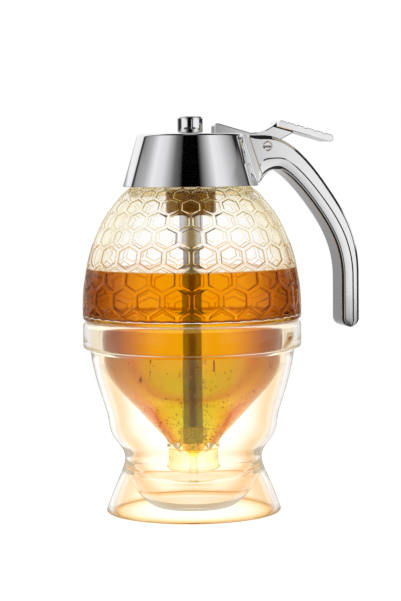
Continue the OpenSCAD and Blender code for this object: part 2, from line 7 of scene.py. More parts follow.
import bmesh
import bpy
import numpy as np
from mathutils import Matrix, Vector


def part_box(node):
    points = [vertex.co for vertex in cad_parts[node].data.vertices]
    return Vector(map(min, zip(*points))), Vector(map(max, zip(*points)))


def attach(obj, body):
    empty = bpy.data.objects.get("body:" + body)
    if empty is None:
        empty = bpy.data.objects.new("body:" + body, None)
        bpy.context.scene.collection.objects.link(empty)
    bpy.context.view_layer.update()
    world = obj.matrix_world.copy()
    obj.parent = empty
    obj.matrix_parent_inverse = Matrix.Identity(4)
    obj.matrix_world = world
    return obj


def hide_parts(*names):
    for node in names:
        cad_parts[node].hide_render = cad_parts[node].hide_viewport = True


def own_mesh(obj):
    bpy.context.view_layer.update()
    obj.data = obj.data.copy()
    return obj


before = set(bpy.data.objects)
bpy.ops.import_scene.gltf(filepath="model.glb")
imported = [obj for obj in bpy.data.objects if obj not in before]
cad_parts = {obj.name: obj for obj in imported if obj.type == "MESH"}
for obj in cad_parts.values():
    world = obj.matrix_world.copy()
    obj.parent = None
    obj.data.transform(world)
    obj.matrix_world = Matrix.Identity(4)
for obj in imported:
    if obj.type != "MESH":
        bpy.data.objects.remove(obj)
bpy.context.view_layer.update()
MM = 0.001

# ---------------------------------------------------------------- glass stand
# The stand is one piece of pressed soda glass: a thick rolled rim that the jar sits on, a flared and
# waisted wall, and a foot whose skirt stands clear round a rounded bowl. Pressing leaves it faintly wavy.


def curve(a, b, c, d, steps=18):
    """A cubic curve: each point is the sum of the four given ones, weighted by shares of (1 - t) and t."""
    t = np.linspace(0, 1, steps + 1)[:, None]
    s = 1 - t
    a, b, c, d = (np.array(p, float) for p in (a, b, c, d))
    return s**3 * a + 3 * s * s * t * b + 3 * s * t * t * c + t**3 * d


def bend(across, up, radius, start, end, steps=8):
    """Part of a circle round (across, up): the angle runs evenly from start to end, in degrees."""
    a = np.radians(np.linspace(start, end, steps + 1))
    return np.stack([across + radius * np.cos(a), up + radius * np.sin(a)], -1)


def outline(*parts):
    """Points and curves joined into one line, without the points that repeat."""
    line = np.vstack([np.atleast_2d(p) for p in parts])
    return line[np.append(True, np.linalg.norm(np.diff(line, axis=0), axis=1) > 1e-4)]


def grid_faces(rows, columns, round_rows=False, round_columns=False):
    """Quads over a grid: each joins a point to the next in its row, and both to those under them."""
    r = np.arange(rows if round_rows else rows - 1)[:, None]
    c = np.arange(columns if round_columns else columns - 1)[None, :]
    after, below = (c + 1) % columns, (r + 1) % rows
    corners = [r * columns + c, r * columns + after, below * columns + after, below * columns + c]
    return np.stack(corners, -1).reshape(-1, 4).tolist()


def solid(name, parts, material, sharp=35, body=None):
    """One closed piece from parts of (points in millimetres, faces, and a mark for each face where there
    is one): they are merged where they meet, and faces are turned outwards. An edge bent by more than
    sharp degrees stays crisp."""
    points = np.vstack([part[0].reshape(-1, 3) for part in parts]) * MM
    starts = np.cumsum([0] + [part[0].reshape(-1, 3).shape[0] for part in parts]).tolist()
    faces = [[start + i for i in face] for part, start in zip(parts, starts) for face in part[1]]
    mesh = bpy.data.meshes.new(name)
    mesh.from_pydata(points.tolist(), [], faces)
    if any(len(part) > 2 for part in parts):
        marks = np.concatenate([part[2] if len(part) > 2 else np.zeros(len(part[1])) for part in parts])
        mesh.attributes.new("mark", "FLOAT", "FACE").data.foreach_set("value", marks.astype(np.float32))
    same_point = 2e-7
    work = bmesh.new()
    work.from_mesh(mesh)
    bmesh.ops.remove_doubles(work, verts=work.verts, dist=same_point)
    bmesh.ops.recalc_face_normals(work, faces=work.faces)
    work.to_mesh(mesh)
    work.free()
    mesh.shade_smooth()
    mesh.set_sharp_from_angle(angle=math.radians(sharp))
    mesh.materials.append(material)
    piece = bpy.data.objects.new(name, mesh)
    bpy.context.scene.collection.objects.link(piece)
    if body:
        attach(piece, body)
    return piece


def turned(profile, angles=None, closed=False):
    """A profile of (radius, height) carried round the axis: x = r cos a, y = r sin a at every angle a."""
    a = np.linspace(0, 2 * np.pi, 192, endpoint=False) if angles is None else angles
    r, z = profile[:, :1], profile[:, 1:]
    points = np.stack([r * np.cos(a), r * np.sin(a), z + 0 * a], -1)
    return points, grid_faces(len(profile), len(a), round_rows=closed, round_columns=True)


def linear(code):
    """A hex colour, as the eye reads it, turned to linear red, green and blue with a full alpha."""
    shade = np.array([int(code[i : i + 2], 16) for i in (1, 3, 5)]) / 255
    shade = np.where(shade <= 0.04045, shade / 12.92, ((shade + 0.055) / 1.055) ** 2.4)
    return (*shade.tolist(), 1.0)


def add(tree, kind, inputs=(), stops=(), **settings):
    """Adds a node: settings are its own properties, and each input gets a value, another node's output or
    the first output of a node. stops are a ramp's places from 0 to 1, each with a hex colour or a
    brightness."""
    made = tree.nodes.new("ShaderNode" + kind)
    for name, value in settings.items():
        setattr(made, name, value)
    for _ in stops[2:]:
        made.color_ramp.elements.new(0.5)
    for stop, (at, tone) in zip(made.color_ramp.elements if stops else (), stops):
        stop.position, stop.color = at, linear(tone) if isinstance(tone, str) else (tone, tone, tone, 1)
    for name, value in dict(inputs).items():
        value = value.outputs[0] if isinstance(value, bpy.types.Node) else value
        if isinstance(value, bpy.types.NodeSocket):
            tree.links.new(value, made.inputs[name])
        else:
            made.inputs[name].default_value = value
    return made


def blank(name):
    """A new material with an empty node tree."""
    material = bpy.data.materials.new(name)
    material.use_nodes = True
    material.node_tree.nodes.clear()
    return material, material.node_tree


def let_light_by(tree, surface):
    """What a clear piece shows, and a plain see-through surface for shadow and diffuse rays, so that light
    reaches what is behind it, and for rays that run on and on inside it, so that they come out."""
    most_turns = 9.5
    rays = add(tree, "LightPath").outputs
    passing = add(tree, "Math", {0: rays["Is Shadow Ray"], 1: rays["Is Diffuse Ray"]}, operation="MAXIMUM")
    trapped = add(tree, "Math", {0: rays["Ray Depth"], 1: most_turns}, operation="GREATER_THAN")
    passing = add(tree, "Math", {0: passing, 1: trapped}, operation="MAXIMUM")
    clear = add(tree, "BsdfTransparent", {"Color": linear("#ffffff")})
    return add(tree, "MixShader", {0: passing, 1: surface, 2: clear})


def pressed_glass(name, ior, rim=(), wave=0.06, gloss=1.0, marked=(), low_rim=(), low_z=0.0,
                  low_blend=1.0):
    """Soda glass: clear and smooth, refracting by ior, with a pressing's long waves of 9 mm and the given
    gloss. rim gives its tone at shares of the way from facing to edge-on, painted to stand in for the
    coloured light and shade seen through the glass there. marked gives more painted tone at the values of its
    face marks, and low_rim a painted tone below the height low_z, blended over low_blend millimetres each
    way."""
    material, tree = blank(name)
    place = add(tree, "TexCoord").outputs["Object"]
    swell = add(tree, "TexNoise", {"Vector": place, "Scale": 1 / (9 * MM), "Detail": 1.0})
    bump = add(tree, "Bump", {"Height": swell, "Strength": wave, "Distance": 0.4 * MM})
    glass = add(tree, "BsdfPrincipled", {
        "Base Color": linear("#ffffff"), "Roughness": 0.0, "IOR": ior, "Transmission Weight": 1.0,
        "Specular Tint": (gloss, gloss, gloss, 1.0), "Normal": bump})
    if rim:
        tilt = add(tree, "LayerWeight", {"Blend": 0.5}).outputs["Facing"]
        tone = add(tree, "ValToRGB", {"Fac": tilt}, rim)
        if low_rim:
            height = add(tree, "SeparateXYZ", {0: place}).outputs["Z"]
            above = add(tree, "MapRange", {"Value": height, "From Min": (low_z - low_blend) * MM,
                                           "From Max": (low_z + low_blend) * MM})
            low_tone = add(tree, "ValToRGB", {"Fac": tilt}, low_rim)
            tone = add(tree, "MixRGB", {"Fac": above, "Color1": low_tone, "Color2": tone})
        if marked:
            mark = add(tree, "Attribute", attribute_name="mark").outputs["Fac"]
            marks = add(tree, "ValToRGB", {"Fac": mark}, marked)
            tone = add(tree, "MixRGB", {"Fac": 1.0, "Color1": tone, "Color2": marks}, blend_type="MULTIPLY")
        tree.links.new(tone.outputs[0], glass.inputs["Base Color"])
    add(tree, "OutputMaterial", {"Surface": let_light_by(tree, glass)})
    return material


soda_ior = 1.5
# The stand is clear: its warm band and darker grey edge-on are painted light and shade, and so is the amber
# low down, where its thick foot gathers the light
stand_glass = pressed_glass(
    "pressed_soda_glass", soda_ior,
    rim=[(0.0, "#ffffff"), (0.28, "#fff8ee"), (0.50, "#f1d5aa"), (0.62, "#f3dfc2"), (0.70, "#ffffff"),
         (0.82, "#ffffff"), (0.90, "#bcb0a0"), (1.0, "#8a7f70")],
    gloss=0.35,
    low_rim=[(0.0, "#fae0a8"), (0.4, "#e8b450"), (0.75, "#b87a20"), (1.0, "#7c4c10")], low_z=1.1,
)

stand_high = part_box("stand")[1] / MM
stand_top, rim_r = stand_high.z, stand_high.x
rim_h, rim_inner, rim_round, lip_round = 11, 37.2, 1.8, 1.2
rim_z = stand_top - rim_h
under_rim_r = rim_r - 2.7
stand_wall = 2.2
waist_r, waist_z = 27.4, 21.5
bulge_r, bulge_z = waist_r + 6.3, waist_z + 14
foot_r, foot_ring, foot_round = 34.9, 2.3, 0.9
bowl_r, bowl_floor, bowl_under = 12.0, 3.6, 1.4
crotch = np.array([waist_r - 0.9, waist_z - 5.7])

skirt_line = curve([foot_r - 0.03, foot_round + 0.06], [foot_r - 3.7, waist_z - 9.5],
                   [waist_r, waist_z - 4], [waist_r, waist_z])
waist_line = curve([waist_r, waist_z], [waist_r, waist_z + 5.5], [bulge_r - 0.8, waist_z + 6.5],
                   [bulge_r, bulge_z])
flare_line = curve([bulge_r, bulge_z], [bulge_r + 0.5, bulge_z + 6.5],
                   [under_rim_r - 2.2, rim_z - 16], [under_rim_r, rim_z])
inward = np.array([stand_wall, 0])
stand_line = outline(
    [0, bowl_under],
    curve([bowl_r + 1, bowl_under], [bowl_r + 6, bowl_under], crotch - [0.5, 6], crotch),
    curve(crotch + [0.3, -0.5], crotch + [1.5, -4], [foot_r - foot_ring - 2.2, 7],
          [foot_r - foot_ring, 0.4], 10),
    [foot_r - foot_ring + 0.4, 0],
    bend(foot_r - foot_round, foot_round, foot_round, -90, 0),
    skirt_line, waist_line, flare_line,
    [under_rim_r + 0.9, rim_z + 0.2],
    bend(rim_r - lip_round, rim_z + 1.6, lip_round, -60, 0),
    bend(rim_r - rim_round, stand_top - rim_round, rim_round, 0, 90),
    bend(rim_inner + 1, stand_top - 1, 1, 90, 180),
    [rim_inner, rim_z + 1.5],
    [under_rim_r - stand_wall, rim_z - 1],
    (flare_line[:-1] - inward)[::-1],
    (waist_line[:-1] - inward)[::-1],
    curve([waist_r - stand_wall, waist_z - 1], [waist_r - stand_wall, waist_z / 2],
          [bowl_r + 7, bowl_floor], [bowl_r, bowl_floor]),
    [0, bowl_floor],
)
stand = solid("glass_stand", [turned(stand_line)], stand_glass, body="stand")
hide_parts("stand")

# ---------------------------------------------------------------- glass jar
# The jar is one pressed piece too: a dome with rows of sunk hexagons, a ledge that sits on the stand's
# rim, a funnel under it and an outlet with a bead. Three lugs on the neck hold the cap. Below the
# honey's level its inner wall is wetted, so light passes from glass to honey and hardly bends there.

seat_z = stand_top + 0.3
tip_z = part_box("jar")[0].z / MM
neck_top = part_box("jar")[1].z / MM
jar_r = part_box("jar")[1].x / MM
jar_wall = 2.2
dome_z = seat_z + 3.4
shoulder_z = dome_z + 50.6
shoulder_r = 22.6
dome_power = 2.15
dome_h = (shoulder_z - dome_z) / (1 - (shoulder_r / jar_r) ** dome_power) ** (1 / dome_power)
neck_r, neck_bore = 19.5, 16.7
collar_r, collar_z = jar_r - 7.6, seat_z - 10.6
funnel_slope, funnel_r, funnel_z = 0.916, 17.6, tip_z + 25
funnel_wall = jar_wall * math.hypot(1, funnel_slope) - 0.2
outlet_r, bead_r, bead_z, passage_r = 10.0, 10.9, tip_z + 6.4, 1.6
belly_floor = seat_z + jar_wall - 0.6
honey_z = 96.5
meniscus = 0.7


def on_funnel(radius, wall=0.0):
    """The funnel's height at a radius: a straight slope, for its outer side or, with its wall, its inner."""
    return funnel_z + (radius + wall - funnel_r) / funnel_slope


def dome(belly, height, top, steps=40):
    """A full dome: radius = belly (1 - (rise / height)^p)^(1/p), with closer heights near the top."""
    z = dome_z + (top - dome_z) * np.sin(np.linspace(0, np.pi / 2, steps + 1))
    return np.stack([belly * (1 - ((z - dome_z) / height) ** dome_power) ** (1 / dome_power), z], -1)


inner_r = jar_r - jar_wall
inner_dome_h = dome_h - 1.6 * jar_wall
inner_top = dome_z + inner_dome_h * (1 - (neck_bore / inner_r) ** dome_power) ** (1 / dome_power)
outer_line = outline(
    bend(jar_r - 2, seat_z + 2, 2, -90, 0, 40),
    dome(jar_r, dome_h, shoulder_z, 800),
)
# The rows of hexagons are even in arc over radius, so each keeps its shape as the dome draws in
arc = np.append(0, np.cumsum(np.linalg.norm(np.diff(outer_line, axis=0), axis=1)
                             / ((outer_line[1:, 0] + outer_line[:-1, 0]) / 2)))
row_step, cells_round, rows = 0.2, 24, 8
last_row, last_row_z = 7, 86.6
arc -= np.interp(last_row_z, outer_line[:, 1], arc)
half_cell = np.pi / cells_round
camera_side = math.radians(-90 - 14)
sides, per_side = 6, 4
plain_z, fading_h, fading_climb = 79.3, 1.6, 0.06
scales = np.array([1.0, 0.9, 0.87, 0.845, 0.80, 0.775, 0.73, 0.42])
sink = np.array([0.0, 0.0, 0.03, 0.08, 0.25, 0.28, 0.28, 0.28])
# Each row's hexagon walls get a mark for a painted tone: darkest olive in the top rows under the cap, honey
# brown in the lower rows by the honey
wall_rings = (2, 5)
wall_marks = [1.0, 1.0, 0.75, 0.5, 0.5, 0.25, 0.25, 0.25, 0.25]


def on_dome(turn, climb, depth):
    """The point on the outer line where its arc over radius is climb, sunk by depth along its normal. The
    depth fades out at the dome's foot and top, and shrinks with the radius."""
    r, z = (np.interp(climb, arc, outer_line[:, i]) for i in (0, 1))
    slope = np.stack([np.gradient(outer_line[:, 0]), np.gradient(outer_line[:, 1])], -1)
    slope /= np.linalg.norm(slope, axis=1)[:, None]
    nr, nz = np.interp(climb, arc, slope[:, 1]), -np.interp(climb, arc, slope[:, 0])
    to_top = last_row * row_step - climb
    fade = np.clip((z - plain_z) / fading_h, 0, 1) * np.clip(to_top / fading_climb, 0, 1)
    depth = depth * fade * fade * (3 - 2 * fade) * (0.45 + 0.55 * r / jar_r)
    r, z = r - nr * depth, z - nz * depth
    return np.stack([r * np.cos(turn), r * np.sin(turn), z], -1)


def hexagon():
    """One hexagon's edge, point up, from the middle of its right side, with its sides cut evenly."""
    corners = [(0.5, -1 / 3), (0.5, 1 / 3), (0, 2 / 3), (-0.5, 1 / 3), (-0.5, -1 / 3), (0, -2 / 3)]
    corners = np.array(corners) * [2 * half_cell, row_step]
    t = np.arange(per_side)[:, None] / per_side
    line = np.vstack([a * (1 - t) + b * t for a, b in zip(corners, np.roll(corners, -1, axis=0))])
    return np.roll(line, -per_side // 2, axis=0)


def cell(row, count, keep):
    """One hexagonal dimple: its edge drawn in ring by ring, each sunk by its own depth, to the middle."""
    middle = camera_side + 2 * half_cell * count + (half_cell if row % 2 else 0.0)
    edge = hexagon()[keep]
    ring = scales[:, None, None] * edge
    climb = (last_row - row) * row_step + ring[..., 1]
    points = on_dome(middle + ring[..., 0], climb, np.repeat(sink[:, None], len(edge), 1))
    hub = on_dome(np.array([middle]), np.array([(last_row - row) * row_step]), sink[-1])
    whole = len(keep) == sides * per_side
    faces = grid_faces(len(scales), len(edge), round_columns=whole)
    last, middle_point = (len(scales) - 1) * len(edge), points.shape[0] * points.shape[1]
    ends = len(edge) if whole else len(edge) - 1
    faces += [[last + i, last + (i + 1) % len(edge), middle_point] for i in range(ends)]
    on_wall = np.zeros(len(faces))
    on_wall[wall_rings[0] * ends : wall_rings[1] * ends] = wall_marks[row]
    return np.vstack([points.reshape(-1, 3), hub]), faces, on_wall


ring_count = sides * per_side
upper_half = np.arange(ring_count // 2 + 1)
lower_half = (np.arange(ring_count // 2 + 1) + ring_count // 2) % ring_count
relief = [cell(0, i, lower_half) for i in range(cells_round)]
relief += [cell(row, i, np.arange(ring_count)) for row in range(1, rows) for i in range(cells_round)]
relief += [cell(rows, i, upper_half) for i in range(cells_round)]
across = np.concatenate([scales, -scales, [0]]) * half_cell
columns = (camera_side + 2 * half_cell * np.arange(cells_round)[:, None] + across).ravel()
columns = np.unique(np.round(np.mod(columns, 2 * np.pi), 9))


def line_between(low, high):
    """The outer line from one arc over radius to another, with its two ends exactly there."""
    at = np.concatenate([[low], arc[(arc > low) & (arc < high)][::12], [high]])
    return np.stack([np.interp(at, arc, outer_line[:, i]) for i in (0, 1)], -1)


def into_collar(across, up, radius):
    """The bend from the funnel's slope at (across, up) into the upright collar of the given radius."""
    return curve([across, up], [across + 4.5, up + 4.9], [radius, collar_z - 8], [radius, collar_z])


inner_corner = dome_z - belly_floor - 0.2
outer_bend = collar_r - 7.5
inner_bend = outer_bend - funnel_wall
collar_inner = collar_r - jar_wall
inner_dome = dome(inner_r, inner_dome_h, inner_top)
wet_top = honey_z + meniscus
wet_at = inner_r * (1 - ((wet_top - dome_z) / inner_dome_h) ** dome_power) ** (1 / dome_power)
inner_wall = outline(
    [passage_r, on_funnel(passage_r, funnel_wall)],
    into_collar(inner_bend, on_funnel(inner_bend, funnel_wall), collar_inner),
    [collar_inner, belly_floor],
    bend(inner_r - inner_corner, belly_floor + inner_corner, inner_corner, -90, 0),
    inner_dome[inner_dome[:, 1] < wet_top],
    [wet_at, wet_top],
    inner_dome[inner_dome[:, 1] > wet_top],
)
under_line = outline(
    [passage_r, on_funnel(passage_r, funnel_wall)],
    [passage_r, tip_z + 3.2],
    [passage_r + 1.6, tip_z],
    curve([passage_r + 4, tip_z], [bead_r - 2, tip_z + 0.6], [bead_r, bead_z - 3], [bead_r, bead_z], 12),
    [outlet_r, bead_z + 2.8],
    [outlet_r, on_funnel(outlet_r) - 2.2],
    [outlet_r + 0.6, on_funnel(outlet_r) - 1.6],
    [outlet_r + 0.6, on_funnel(outlet_r + 0.6)],
    into_collar(outer_bend, on_funnel(outer_bend), collar_r),
    [collar_r, seat_z],
    line_between(arc[0], -row_step),
)
neck_line = outline(
    line_between(last_row * row_step, arc[-1])[:-1],
    [neck_r + 0.6, shoulder_z],
    [neck_r, shoulder_z + 0.6],
    [neck_r, neck_top - 0.4],
    bend(neck_r - 0.4, neck_top - 0.4, 0.4, 0, 90, 4),
    bend(neck_bore + 0.4, neck_top - 0.4, 0.4, 90, 180, 4),
    inner_dome[-1:],
)
lug_r, lug_z, lug_t, lug_span = neck_r + 1.4, neck_top - 3.4, 1.6, 30
lug_line = np.array([[neck_r - 0.3, 0], [lug_r - 0.2, 0], [lug_r, 0.2], [lug_r, lug_t - 0.2],
                     [lug_r - 0.2, lug_t], [neck_r - 0.3, lug_t]]) + [0, lug_z]
lug_angles = (85, 205, 325)


def lug(middle):
    """A closing lug: its section carried through part of a turn, with a flat face at each end."""
    a = np.radians(middle + np.linspace(-lug_span / 2, lug_span / 2, 13))
    points, _ = turned(lug_line, a)
    faces = grid_faces(len(lug_line), len(a), round_rows=True)
    ends = [[i * len(a) + side for i in range(len(lug_line))] for side in (0, len(a) - 1)]
    return points, faces + ends


# The dome is clear glass: its straw tone on edge, the tones round each hexagon and the outlet's pale yellow
# are painted, standing in for the honey's light and the shade that the glass bends in
jar_glass = pressed_glass(
    "pressed_jar_glass", soda_ior, wave=0.0, gloss=0.2,
    rim=[(0.0, "#ffffff"), (0.3, "#ffffff"), (0.5, "#fffae8"), (0.8, "#fcf5dc"), (0.9, "#d8c898"),
         (1.0, "#b8a670")],
    marked=[(0.0, "#ffffff"), (0.25, "#d8a05a"), (0.5, "#f1e6b4"), (0.75, "#dcc67c"), (1.0, "#a8904c")],
    low_rim=[(0.0, "#fffce6"), (0.3, "#fff3b4"), (0.6, "#f0e08a"), (0.85, "#cdb652"), (1.0, "#8f7e28")],
    low_z=on_funnel(outlet_r) - 1,
)
jar = solid(
    "glass_jar",
    relief + [turned(under_line, columns), turned(inner_wall, columns), turned(neck_line, columns)]
    + [lug(angle) for angle in lug_angles],
    jar_glass, sharp=40, body="jar",
)
# Wetted by honey, the wall is brown to orange in the dome and has a green heart in the funnel: partly the
# honey's own amber, and partly painted light and shade by viewing angle for the light bent through the honey
wet_glass = pressed_glass(
    "glass_wetted_by_honey", 1.22, wave=0.0, gloss=0.15,
    rim=[(0.0, "#fce4bc"), (0.06, "#fadcb0"), (0.13, "#dcaa6c"), (0.20, "#b4803e"), (0.28, "#905820"),
         (0.6, "#84501a"), (0.95, "#e8a040")],
    low_rim=[(0.0, "#d8ff80"), (0.14, "#d8ff80"), (0.18, "#f4e878"), (0.22, "#f4a83c"), (0.26, "#f0a02c"),
             (0.29, "#ffe038"), (0.33, "#ffff38"), (1.0, "#ffff60")],
    low_z=collar_z - 9, low_blend=6,
)
jar.data.materials.append(wet_glass)


def faces_where(piece, test):
    """Which faces of a piece pass a test on their middles, given as radius and height in millimetres."""
    middles = np.zeros(len(piece.data.polygons) * 3)
    piece.data.polygons.foreach_get("center", middles)
    middles = middles.reshape(-1, 3) / MM
    return test(np.hypot(middles[:, 0], middles[:, 1]), middles[:, 2])


wall_r, wall_z = inner_wall[:, 0], inner_wall[:, 1]


def is_wetted(r, z):
    """Faces of the inner wall under the honey's edge: their radius is the inner wall's at that height."""
    level = np.interp(z, wall_z, wall_r)
    on_ledge = (np.abs(z - belly_floor) < 0.05) & (r > collar_inner) & (r < inner_r)
    return ((np.abs(r - level) < 0.25) | on_ledge) & (z < wet_top) & (z > wall_z[0])


jar.data.polygons.foreach_set("material_index", faces_where(jar, is_wetted).astype(np.int32))
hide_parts("jar")

# ---------------------------------------------------------------- honey
# Clear amber honey fills the funnel and the lower dome, and climbs the wall a little at its edge. Thin
# layers show yellow and deep ones brown. The wetted wall bends the light there, so the honey's body only
# colours it, and a clear skin on its free surface gives the gloss.

honey_amber, tree = blank("clear_amber_honey")
body = add(tree, "BsdfPrincipled", {
    "Base Color": linear("#ffffff"), "Roughness": 0.0, "IOR": 1.0, "Transmission Weight": 1.0})
# Through this depth of honey, these shares of red, green and blue are left
honey_depth, left = 60, np.array([0.93, 0.52, 0.0004])
lost = -np.log(left) / (honey_depth * MM)
# The node's colour is what it lets through, so it stays just above black where the most is lost
density = lost.max() / 0.98
soak = add(tree, "VolumeAbsorption", {"Color": (*(1 - lost / density).tolist(), 1.0), "Density": density})
add(tree, "OutputMaterial", {"Surface": let_light_by(tree, body), "Volume": soak})
honey_gloss = pressed_glass("honey_free_surface", 1.4, wave=0.0)

skin = 0.04
honey_wall = inner_wall[(wall_z < wet_top + 0.01)]
slope = np.gradient(honey_wall, axis=0)
slope /= np.linalg.norm(slope, axis=1)[:, None]
honey_wall = honey_wall + skin * np.stack([-slope[:, 1], slope[:, 0]], -1)
surface_r = np.linspace(1, 0, 41)[:, None] ** 0.7 * honey_wall[-1, 0]
climb = meniscus * np.exp(-(honey_wall[-1, 0] - surface_r) / 1.1)
surface = np.hstack([surface_r, honey_z + climb])
honey_line = outline([0, honey_wall[0, 1]], honey_wall, surface[1:])
solid("honey", [turned(honey_line)], honey_amber, sharp=30, body="jar")
skin_line = outline((surface + [0, 0.02])[::-1], surface + [0, 0.25])
solid("honey_skin", [turned(skin_line)], honey_gloss, sharp=50, body="jar")

# Fine wax and pollen specks hang in the honey near the funnel's wall and round the rod
specks_wax, tree = blank("wax_and_pollen")
place = add(tree, "TexCoord").outputs["Object"]
dots = add(tree, "TexNoise", {"Vector": place, "Scale": 1 / (1.5 * MM)})
shade = add(tree, "MixRGB", {"Fac": dots, "Color1": linear("#5a1c04"), "Color2": linear("#d07a20")})
wax = add(tree, "BsdfPrincipled", {"Base Color": shade, "Roughness": 0.5})
add(tree, "OutputMaterial", {"Surface": wax})
chance = np.random.default_rng(7)
by_wall, by_rod = 900, 260
wall_specks_z, wall_specks_h = honey_wall[0, 1] + 3, 40
rod_specks_z, rod_specks_h = 28, 34
speck_z = wall_specks_z + wall_specks_h * chance.beta(1.2, 1.3, by_wall)
speck_z = np.append(speck_z, rod_specks_z + rod_specks_h * chance.random(by_rod))
speck_r = np.interp(speck_z, honey_wall[:, 1], honey_wall[:, 0])
speck_r = speck_r - 0.4 - 1.6 * chance.random(by_wall + by_rod) ** 2
speck_r[by_wall:] = 3.6 + 1.2 * chance.random(by_rod)
speck_a = 2 * np.pi * chance.random(by_wall + by_rod)
speck_at = np.stack([speck_r * np.cos(speck_a), speck_r * np.sin(speck_a), speck_z], -1)
# A ball of twenty triangles: its corners are three golden rectangles set across each other, and each
# triangle joins three corners that are neighbours, an edge of 2 apart
wide = (1 + math.sqrt(5)) / 2
rectangle = np.array([[x, y * wide, 0] for x in (-1, 1) for y in (-1, 1)])
ball = np.vstack([np.roll(rectangle, place, axis=1) for place in range(3)])
near = np.linalg.norm(ball[:, None] - ball, axis=2) < 2.1
ball_faces = np.array([three for three in combinations(range(12), 3) if near[np.ix_(three, three)].all()])
ball /= np.linalg.norm(ball[0])
speck_size = 0.13 + 0.2 * chance.random(len(speck_at)) ** 2
speck_points = speck_at[:, None] + speck_size[:, None, None] * ball
speck_faces = (ball_faces + 12 * np.arange(len(speck_at))[:, None, None]).reshape(-1, 3).tolist()
solid("honey_specks", [(speck_points, speck_faces)], specks_wax, sharp=60, body="jar")

# ---------------------------------------------------------------- cap
# The cap is drawn from stainless sheet into a plain cone with a rolled top edge, slotted for the
# lever and polished to a mirror. Polishing leaves faint rings round it, and hands leave a soft haze.


def polished(name, tone, roughness, haze=0.04, grain=0.0, grain_size=0.25):
    """Polished metal: a mirror with a thin haze in patches of 14 mm and, where it was turned, fine lines
    round the axis, grain_size millimetres apart. Real lines are finer: these are as coarse as they need
    to be to show."""
    material, tree = blank(name)
    place = add(tree, "TexCoord").outputs["Object"]
    patches = add(tree, "TexNoise", {"Vector": place, "Scale": 1 / (14 * MM), "Detail": 3.0})
    rough = add(tree, "MapRange", {"Value": patches, "From Min": 0.35, "From Max": 0.75,
                                   "To Min": roughness, "To Max": roughness + haze})
    metal = add(tree, "BsdfPrincipled", {"Base Color": linear(tone), "Metallic": 1.0, "Roughness": rough})
    if grain:
        rings = add(tree, "Mapping", {"Vector": place, "Scale": (0.02, 0.02, 1 / grain_size / MM)})
        lines = add(tree, "TexNoise", {"Vector": rings, "Scale": 1.0, "Detail": 2.0})
        bump = add(tree, "Bump", {"Height": lines, "Strength": grain, "Distance": 0.02 * MM})
        tree.links.new(bump.outputs[0], metal.inputs["Normal"])
    add(tree, "OutputMaterial", {"Surface": metal})
    return material


def cut(piece, *tools, sharp=24):
    """Takes the tools' solids out of a piece, or joins on one that is marked so, as the piece's new mesh."""
    for tool, how in tools:
        trim = piece.modifiers.new("cut", "BOOLEAN")
        trim.object, trim.operation, trim.solver = tool, how, "EXACT"
    bpy.context.view_layer.update()
    result = bpy.data.meshes.new_from_object(piece.evaluated_get(bpy.context.evaluated_depsgraph_get()))
    result.shade_smooth()
    result.set_sharp_from_angle(angle=math.radians(sharp))
    old = piece.data
    piece.modifiers.clear()
    piece.data = result
    result.name = old.name
    for tool, _ in tools:
        bpy.data.objects.remove(tool)
    return piece


def block(low, high):
    """A plain box between two corners, as a cutting tool."""
    corner = np.array([[x, y, z] for x in (0, 1) for y in (0, 1) for z in (0, 1)])
    faces = [[0, 1, 3, 2], [4, 6, 7, 5], [0, 4, 5, 1], [2, 3, 7, 6], [0, 2, 6, 4], [1, 5, 7, 3]]
    return solid("tool", [(np.array(low) + corner * (np.array(high) - low), faces)], cutter)


def across_bar(x, z, radius, low, high, steps=48):
    """A round bar along Y, as a cutting tool or a piece: a circle round (x, z) carried from low to high."""
    ring = bend(x, z, radius, 0, 360, steps)[:-1]
    points = np.stack([np.stack([ring[:, 0], np.full(steps, y), ring[:, 1]], -1) for y in (low, high)])
    faces = grid_faces(2, steps, round_columns=True)
    return points, faces + [list(range(steps)), list(range(steps, 2 * steps))]


cutter = bpy.data.materials.new("cutter")
mirror_steel = polished("mirror_stainless_sheet", "#eeeef0", 0.035, haze=0.03, grain=0.008)

cap_z, cap_top = (v.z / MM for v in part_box("cap_shell"))
cap_bottom_r, cap_top_r, cap_round = 27.0, 20.9, 1.6
cap_lean = math.degrees(math.atan((cap_bottom_r - cap_top_r) / (cap_top - cap_z)))
cap_slope = math.tan(math.radians(cap_lean))
round_back = cap_round * math.tan(math.radians(90 - cap_lean) / 2)
rod_r = 3.2
sheet = 1.05
cap_under = cap_top - 1


def cap_radius(z):
    """The cone's outer radius at a height, a straight slope."""
    return cap_bottom_r - (z - cap_z) * cap_slope


cap_line = outline(
    [cap_radius(cap_z) - sheet, cap_z],
    bend(cap_bottom_r - 0.25, cap_z + 0.2, 0.2, -90, cap_lean, 4),
    bend(cap_top_r - round_back, cap_top - cap_round, cap_round, cap_lean, 90, 14),
    [rod_r + 0.6, cap_top],
    bend(rod_r + 0.6, cap_top - 0.3, 0.3, 90, 180, 4),
    [rod_r + 0.3, cap_under],
    [cap_radius(cap_under) - sheet - 0.8, cap_under],
    [cap_radius(cap_under - 0.8) - sheet, cap_under - 0.8],
)
pivot_x, pivot_z = 30.0, cap_top - 5.2
slot_half = 3.05
nose_x = 9.3
cap = solid("cap_shell_polished", [turned(cap_line, closed=True)], mirror_steel, body="cap")
cut(cap, (block([nose_x - 0.6, -slot_half, pivot_z - 2.8], [40, slot_half, cap_top + 5]), "DIFFERENCE"))
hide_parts("cap_shell")

# ---------------------------------------------------------------- handle
# The handle is a polished die casting with chrome over it: a head that hugs the cap, an arch over the
# first finger and a straight grip. Its flat sides end at a fine crease, and from there a long bevel
# falls to the narrower inside that the fingers meet.

# Chrome follows the casting's skin, so it mirrors a shade less sharply than the polished sheet
chrome_casting = polished("chromed_zinc_casting", "#ececed", 0.06, haze=0.04)

